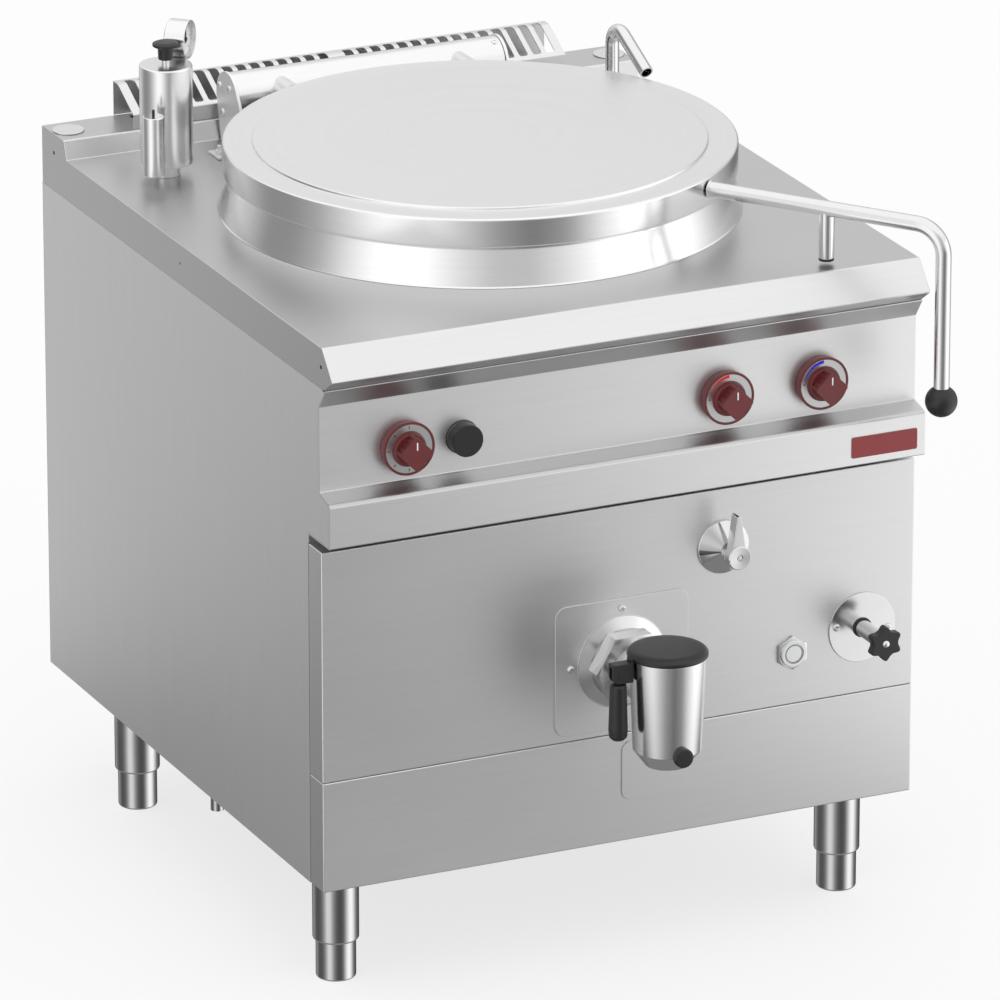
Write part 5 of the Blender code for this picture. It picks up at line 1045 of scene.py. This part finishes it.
def make_knob(name, x, body, mark):
    at = (x, FACE_D, KNOB_Z)
    skirt = lathed(
        [(0, 0.0190), (0.0205, 0.0190), (0.0225, 0.0131), (0.0225, 0.0125), (0.0308, 0.0125),
         (0.0308, 0.0137), (0.0340, 0.0137), (0.0325, 0.0006), (0, 0.0006)],
        [0.0020, 0, 0, 0, 0.0003, 0.0009, 0.0006],
    )
    grip = eased(plate(rounded_rectangle(0.0318, 0.0318, 0.0036, 6), 0.0325, 0.0371), 0.0006, 3, 50)
    groove = placed(rod(0.0026, 0.0150, 0.0312, 24, 0.0012), (0.0166, -0.0090, 0))
    grooves = ring_of(row_of(groove, 4, (0, 0.0060, 0)), 4, 0.0, 0.0, pi / 2)
    sides = cut(plate(rounded_rectangle(0.0304, 0.0304, 0.0040, 6), 0.0120, 0.0327), grooves)
    knob = joined(skirt, placed(joined(grip, sides), (0, 0, 0), (0, 0, pi / 4)))
    front_piece(name + "_moulding", knob, at, RED_PLASTIC, body=body, stands_for=name)
    dial = [(0.0222, 0.0124), (0.0222, DIAL_HEIGHT), (0.0307, DIAL_HEIGHT), (0.0307, 0.0124)]
    front_piece(name + "_dial", turned(dial, closed=True), at, DIAL_GREY, body=body)
    pointer = eased(plate(rounded_rectangle(0.0016, 0.0100, 0.0006, 4), 0.0370, 0.03735), 0.0001, 1)
    front_piece(name + "_pointer", placed(pointer, (0, 0.0105, 0)), at, WHITE_PRINT, body=body)
    if mark is None:
        dash = box((-0.0018, -0.0005, 0), (0.0018, 0.0005, 0.00022))
        marks = placed(ring_of(dash, 5, 0.0268, radians(90), radians(45)), (0, 0, DIAL_HEIGHT))
        front_piece(name + "_marks", marks, at, BLACK_PRINT, body=body)
        return
    rim = [(MARK_R, degrees) for degrees in range(90, 166, 3)]
    rim += [(MARK_R + MARK_WIDTH * (165 - degrees) / 75, degrees) for degrees in range(162, 89, -3)]
    outline = [(radius * cos(radians(degrees)), radius * sin(radians(degrees))) for radius, degrees in rim]
    front_piece(name + "_mark", plate(outline, DIAL_HEIGHT, 0.0131), at, mark, body=body)
    angle = radians(176)
    spot = (STOP_MARK_R * cos(angle), STOP_MARK_R * sin(angle), DIAL_HEIGHT)
    dot = placed(rod(0.0011, 0, 0.0002, 24), spot)
    front_piece(name + "_stop_mark", dot, at, BLACK_PRINT, body=body)


def make_controls():
    make_knob("knob_burner", -0.2880, "burner_knob_body", None)
    make_knob("knob_hot_water", 0.1395, "hot_water_knob_body", RED_PRINT)
    make_knob("knob_cold_water", 0.2680, "cold_water_knob_body", BLUE_PRINT)
    cap = lathed(
        [(0, 0.0190), (0.0203, 0.0190), (0.0203, 0.0030), (0.0193, 0.0036), (0.0193, 0.0116), (0, 0.0116)],
        [0.0014, 0.0004, 0, 0], 6,
    )
    button = {"body": "igniter_body", "stands_for": "igniter_button"}
    front_piece("igniter_cap", cap, IGNITER_AT, BLACK_PLASTIC, **button)
    collar = lathed(washer(0.0206, 0.0215, 0.0004, 0.0018), [0, 0.0008], 4, closed=True)
    front_piece("igniter_collar", collar, IGNITER_AT, BLACK_PLASTIC)


def make_lever_valve():
    rosette = lathed(
        [(0, 0.040), (0.0052, 0.040), (0.0052, 0.0170), (0.0105, 0.0170), (0.0341, 0.0030), (0.0345, 0.0021),
         (0.0345, 0.0003), (0, 0.0003)],
        [0, 0.0003, 0.0012, 0.0010, 0, 0],
    )
    front_piece("lever_rosette", rosette, LEVER_AT, CHROME, stands_for="lever_valve_rosette")
    hub = lathed(
        [(0, 0.0452), (0.0040, 0.0452), (0.0040, 0.0474), (0.0142, 0.0482), (0.0150, 0.0473),
         (0.0150, 0.0330), (0.0105, 0.0280), (0.0105, 0.0173), (0.0055, 0.0173), (0.0055, 0.0403),
         (0, 0.0403)],
        [0, 0.0004, 0.0005, 0.0005, 0.0015, 0.0015, 0, 0, 0],
    )
    outline = [(-0.0095, 0.006), (0.0095, 0.006)] + arc((0, 0.0507), 0.0030, 0, pi, 12)
    blade = eased(plate(outline, 0.0290, 0.0455), 0.0007, 3, 40)
    screw = placed(dome_screw(0.0037, 0.0012), (0, 0, 0.0452))
    handle = joined(hub, blade, screw)
    front_piece("lever_grip", handle, LEVER_AT, CHROME, body="lever_body", stands_for="lever_valve_handle")


def make_level_valve():
    disc = lathed(washer(0.0118, 0.0455, GAP, 0.0018), [0, 0.0006], 4, 128, closed=True)
    screws = placed(ring_of(dome_screw(0.0045, 0.0026), 2, 0.036, radians(-8), pi), (0, 0, 0.0018))
    disc = joined(disc, screws)
    front_piece("level_disc", disc, STAR_AT, TURNED_FRONT, stands_for="level_plate", slot="brushed")
    seal = lathed(washer(0.0107, 0.0127, 0.0018, 0.0034), [0, 0.0006], 3, 64, closed=True)
    front_piece("level_seal", seal, STAR_AT, RUBBER)
    stem = lathed(
        [(0, 0.0334), (0.0053, 0.0334), (0.0053, 0.0553), (0.0106, 0.0553), (0.0106, -0.020), (0, -0.020)],
        [0, 0, 0.0008, 0], 4, 64,
    )
    front_piece("level_stem", stem, STAR_AT, TURNED, stands_for="level_valve_stem", slot="brushed")
    outline = []
    for k in range(144):
        angle = 2 * pi * k / 144
        radius = STAR_CORE_R + STAR_LOBE * (0.5 + 0.5 * cos(6 * angle)) ** 1.5
        outline.append((-radius * sin(angle), radius * cos(angle)))
    star = eased(plate(outline, 0.0558, 0.0677), 0.0014, 3, 60)
    hub = lathed([(0, 0.0337), (0.0050, 0.0337), (0.0050, 0.0560), (0, 0.0560)], [0, 0], 2, 40)
    star = joined(star, hub)
    front_piece("star_grip", star, STAR_AT, BLACK_PLASTIC, body="star_body", stands_for="star_knob")
    rivet = [Vector((0, 0.0704))] + arc((0.0005, 0.0654), 0.0050, pi / 2, 0.25, 8)
    rivet += [Vector((0.0055, 0.0660)), Vector((0, 0.0660))]
    front_piece("star_rivet", turned(rivet, 40), STAR_AT, CHROME, body="star_body")


def make_button():
    ring = lathed(
        [(0.0128, -0.006), (0.0128, 0.0075), (0.0175, 0.0075), (0.0175, 0.0040), (0.0160, 0.0040),
         (0.0160, -0.006)],
        [0.0003, 0.0010, 0, 0], 4, closed=True,
    )
    nuts = joined(nut(0.038, GAP, 0.0046, pi / 6, 0.0012), ring)
    front_piece("button_nut", nuts, BUTTON_AT, TURNED_FRONT, stands_for="reset_nut")
    face = lathed([(0, 0.0068), (0.0125, 0.0068), (0.0125, -0.006), (0, -0.006)], [0.0004, 0], 4, 64)
    front_piece("button_face", face, BUTTON_AT, TURNED_FRONT, body="reset_body", stands_for="reset_button")
    glow = [(0.0106, 0.0066), (0.0106, 0.0070), (0.0117, 0.0070), (0.0117, 0.0066)]
    front_piece("button_ring", turned(glow, closed=True), BUTTON_AT, GREEN_RING, body="reset_body")


# Drain and tap

def make_drain():
    sheet = placed(plate(rounded_rectangle(0.180, 0.169, 0.015), GAP, GAP + SHEET), (0, -0.0025, 0))
    sheet = eased(cut(sheet, rod(DRAIN_R + GAP, -PAST, PAST)), 0.0005, 3, 60)
    screws = placed(ring_of(dome_screw(0.0045, 0.0034), 4, 0.0692, 0.0, pi / 2), (0, 0, GAP + SHEET))
    sheet = joined(sheet, screws)
    front_piece("drain_plate_sheet", sheet, DRAIN_AT, SHEET_ACROSS, stands_for="drain_cover_plate")
    flange = lathed(
        [(DRAIN_R + GAP, 0.0019), (0.0605, 0.0019), (0.0605, 0.0034), (0.0590, 0.0034), (0.0455, 0.0097),
         (DRAIN_R + GAP, 0.0097)],
        [0, 0.0006, 0.0010, 0.0016], 5, 128, True,
    )
    front_piece("drain_rosette", flange, DRAIN_AT, TURNED_FRONT, stands_for="drain_flange")
    low, front = 0.0100, 0.0358
    back = 0.004 - (BOWL_D - BOWL_R - PANEL_D)
    pipe = washer(DRAIN_BORE_R, DRAIN_R, back, front)
    union = cut(nut(0.086, low, front), rod(DRAIN_R - 0.001, low - PAST, front + PAST))
    joint = joined(turned(pipe, closed=True), union)
    front_piece("drain_union", joint, DRAIN_AT, TURNED_FRONT, stands_for="drain_pipe")


def make_tap():
    at = (0, TAP_D, 0)
    barrel = lathed(
        [(0, TAP_TOP_Z), (0.0472, TAP_TOP_Z), (0.0422, 0.3211), (0.0275, TAP_BOTTOM_Z), (0, TAP_BOTTOM_Z)],
        [0.0010, 0.0030, 0.0012], 6, 128,
    )
    neck = placed(rod(DRAIN_R, 0.0361, PANEL_D - TAP_D), DRAIN_AT, TO_FRONT)
    hollows = [
        placed(rod(0.0355, 0.332, TAP_TOP_Z + PAST), at), placed(rod(0.0235, 0.29, 0.342), at),
        placed(rod(DRAIN_BORE_R, 0.030, PANEL_D - TAP_D), DRAIN_AT, TO_FRONT),
        placed(rod(0.0043, -0.0205, 0), LOCK_AT, TO_FRONT),
    ]
    piece("tap_barrel", cut(welded(placed(barrel, at), neck), *hollows), TURNED, stands_for="tap_body")
    lock = lathed(
        [(0, -0.0030), (0.0122, -0.0030), (0.0122, -0.0108), (0.004, -0.0108), (0.004, -0.0198),
         (0, -0.0198)],
        [0.0022, 0.0006, 0, 0], 5, 64,
    )
    front_piece("tap_lock", lock, LOCK_AT, BLACK_PLASTIC, body="lock_body", stands_for="tap_lock_knob")
    base = TAP_TOP_Z + GAP
    dome = lathed(
        [(0, base + 0.0100), (0.0390, base + 0.0092), (0.0470, base + 0.0078), (0.0497, base + 0.0045),
         (0.0497, base), (PLUG_R, base), (PLUG_R, PLUG_BOTTOM_Z), (PLUG_BORE_R, PLUG_BOTTOM_Z),
         (PLUG_BORE_R, base), (0, base)],
        [0.030, 0.008, 0.003, 0.0008, 0, 0.0006, 0, 0], 6, 128,
    )
    fork = [(-0.0487, 0.4412), (-0.0762, 0.4412), (-0.0762, 0.4160), (-0.0487, 0.4160)]
    fork = eased(plate(fillet(fork, [0.0012, 0.0094], 8), -0.007, 0.007), 0.0008, 3, 40)
    slot = box((-0.09, -0.0033, 0.40), (-0.0592, 0.0033, 0.4370))
    fork = cut(placed(fork, (0, 0, 0), TO_FRONT), slot)
    lug = eased(box((-0.0518, -0.0067, 0.4300), (-0.0487, 0.0067, base + 0.0036)), 0.0006, 3)
    port = placed(rod(0.0230, 0.0, 0.06, 64), (0, 0, DRAIN_AT[2]), TO_SIDE)
    plug = joined(cut(dome, port), fork, lug)
    piece("tap_cap", placed(plug, at), BLACK_PLASTIC, body="plug_body", stands_for="tap_plug")
    tongue = [(-TONGUE_R, -0.0183), (TONGUE_R, -0.0183), (TONGUE_R, 0)] + arc((0, 0), TONGUE_R, 0, pi, 12)[1:]
    tongue = placed(plate(tongue, -0.0030, 0.0030), (0, 0, 0), TO_FRONT)
    grip = lathed(
        [(0, -0.0108), (0.0092, -0.0108), (0.0102, -0.0140), (0.0119, -0.0700), (0.0112, -0.0790),
         (0.0070, -0.0832), (0, -0.0837)],
        [0.0015, 0.002, 0.010, 0.004, 0.004], 6, 64,
    )
    handle = placed(joined(tongue, grip), PIN_AT)
    piece("tap_grip", handle, BLACK_PLASTIC, body="tap_handle_body", stands_for="tap_handle")
    pin = rod(0.0030, -0.0078, 0.0078, 24, 0.0005)
    front_piece("tap_grip_pin", pin, PIN_AT, BLACK_PLASTIC, body="tap_handle_body")


def make_condensate_pipe():
    corners = ((PIPE_X, 0.0921), (PIPE_X, PIPE_TOP_Z), (-0.2803, PIPE_TOP_Z))
    points = [Vector((x, PIPE_D, z)) for x, z in corners]
    bar = tube(fillet(points, [0.020], 12), 0.0085)
    bore = placed(rod(0.0070, -PAST, 0.03, 32), points[0])
    piece("condensate_tube", cut(bar, bore), TUBE, stands_for="condensate_pipe")


for make in (
    make_worktop, make_control_panel, make_front, make_legs, make_bowl, make_lid, make_lid_handle,
    make_hinge, make_safety_valve, make_gauge, make_vacuum_valve, make_spout, make_grille, make_controls,
    make_lever_valve, make_level_valve, make_button, make_drain, make_tap, make_condensate_pipe,
):
    make()

dress(SHEET_UPRIGHT, "side_panel_left", "side_panel_right", "back_panel")
dress(DARK_FRAME, "base_frame", "burner", "flue", "hinge_shaft", "hinge_spring")
dress(SHEET_ACROSS, "steam_jacket")
dress(WOOL, "insulation")
dress(BRASS, "burner_valve", "water_valves")
dress(RUBBER, "lid_gasket", "stop_tip")
dress(BLACK_PLASTIC, "gauge_needle", "vacuum_valve_pin")


# Studio

# How bright the studio is round the object: heading (0 behind, rising past the left, 0.5 in front), then the
# brightness at the horizon and above it.
ROOM = (
    (0, 0.42, 0.90), (0.047, 0.80, 0.88), (0.092, 0.58, 0.62), (0.136, 0.30, 0.28), (0.181, 0.30, 0.30),
    (0.225, 0.44, 0.48), (0.269, 0.82, 0.95), (0.314, 1.30, 1.35), (0.358, 1.25, 1.30), (0.403, 0.75, 0.90),
    (0.447, 0.38, 0.62), (0.492, 0.20, 0.60), (0.536, 0.36, 0.90), (0.581, 1.00, 1.25), (0.625, 1.52, 1.60),
    (0.669, 1.60, 1.60), (0.714, 1.25, 1.40), (0.758, 0.65, 1.10), (0.803, 0.40, 0.70), (0.847, 0.16, 0.52),
    (0.892, 0.25, 0.74), (0.958, 0.30, 0.91), (1, 0.42, 0.90),
)
ROOM_PEAK = 1.6
CEILING = 1.2
NADIR = 0.26
WHITE = (1, 1, 1, 1)
FLOOR_HALF = 14.0
FLOOR_SHADE = 0.86
FLOOR_GLOW = 0.75
CAMERA_AT = (-4.8838, -10.469, 4.7196)
CAMERA_AZIMUTH = radians(-24.989)
CAMERA_ELEVATION = radians(20.133)
CAMERA_LENS = 354.8


def bare_nodes(owner):
    owner.use_nodes = True
    owner.node_tree.nodes.clear()
    return Nodes(owner.node_tree)


def room_round(nodes, parts, column=1):
    """Brightness by heading, from the two level parts of a direction or a place."""
    across = parts.out(0)
    heading = across.calc("ARCTAN2", across, parts.out(1) * -1.0) / (2 * pi) + 0.5
    stops = [(row[0], row[column] / ROOM_PEAK) for row in ROOM]
    return nodes.node("ShaderNodeValToRGB", {"stops": stops}, {0: heading}) * ROOM_PEAK


def make_floor():
    """Pale floor that takes the object's shadow and, away from it, mirrors the room into the steel."""
    mesh = bpy.data.meshes.new("studio_floor")
    corners = [(x * FLOOR_HALF, y * FLOOR_HALF, 0) for x, y in ((-1, -1), (1, -1), (1, 1), (-1, 1))]
    mesh.from_pydata(corners, [], [(0, 1, 2, 3)])
    floor = blank(mesh, "studio_floor")
    material = bpy.data.materials.new("studio_floor")
    nodes = bare_nodes(material)
    path = nodes.node("ShaderNodeLightPath")
    spot = nodes.node("ShaderNodeTexCoord", output="Object")
    far = nodes.step(nodes.vector("LENGTH", {0: spot}, "Value"), 0.7, 1.3)
    matt = nodes.node("ShaderNodeBsdfDiffuse", {}, {"Color": (FLOOR_SHADE, FLOOR_SHADE, FLOOR_SHADE, 1)})
    white = nodes.node("ShaderNodeEmission", {}, {"Color": WHITE, "Strength": 1.0})
    seen = nodes.mixed(path.out("Is Camera Ray") * FLOOR_GLOW, matt, white)
    level = room_round(nodes, nodes.parts(spot))
    room = nodes.node("ShaderNodeEmission", {}, {"Color": WHITE, "Strength": level})
    mirrored = nodes.mixed(far, nodes.node("ShaderNodeBsdfTransparent"), room)
    nodes.end("ShaderNodeOutputMaterial", nodes.mixed(path.out("Is Glossy Ray"), seen, mirrored))
    mesh.materials.append(material)


def make_world():
    """White to the camera; for the object a soft studio, bright overhead, with flags standing round it."""
    world = bpy.data.worlds.new("studio")
    bpy.context.scene.world = world
    nodes = bare_nodes(world)
    path = nodes.node("ShaderNodeLightPath")
    parts = nodes.parts(nodes.node("ShaderNodeTexCoord", output="Generated"))
    up = parts.out(2)
    down = up * -1.0
    low = room_round(nodes, parts)
    high = room_round(nodes, parts, 2)
    shaded = low + nodes.step(down, 0.12, 0.30) * (low * low * 0.45 + 0.06 - low)
    around = shaded + nodes.step(up, -0.25, 0.25) * (high - shaded)
    around = around.calc("MINIMUM", around, ROOM_PEAK - nodes.step(up, 0.22, 0.38) * 0.48)
    sides = around + nodes.step(up, 0.40, 0.75) * (CEILING - around)
    level = sides + nodes.step(down, 0.45, 0.78) * (NADIR - sides)
    room = nodes.node("ShaderNodeBackground", {}, {"Color": WHITE, "Strength": level})
    white = nodes.node("ShaderNodeBackground", {}, {"Color": WHITE, "Strength": 1.0})
    nodes.end("ShaderNodeOutputWorld", nodes.mixed(path.out("Is Camera Ray"), room, white))


def make_camera():
    camera = bpy.data.cameras.new("camera")
    camera.lens = CAMERA_LENS
    camera.sensor_width = 36.0
    camera.clip_end = 100.0
    thing = blank(camera, "camera")
    thing.location = CAMERA_AT
    out = cos(CAMERA_ELEVATION)
    back = Vector((sin(CAMERA_AZIMUTH) * out, -cos(CAMERA_AZIMUTH) * out, sin(CAMERA_ELEVATION)))
    thing.rotation_mode = "QUATERNION"
    thing.rotation_quaternion = (-back).to_track_quat("-Z", "Y")
    bpy.context.scene.camera = thing


make_floor()
make_world()
make_camera()
bpy.context.scene.view_settings.view_transform = "Standard"
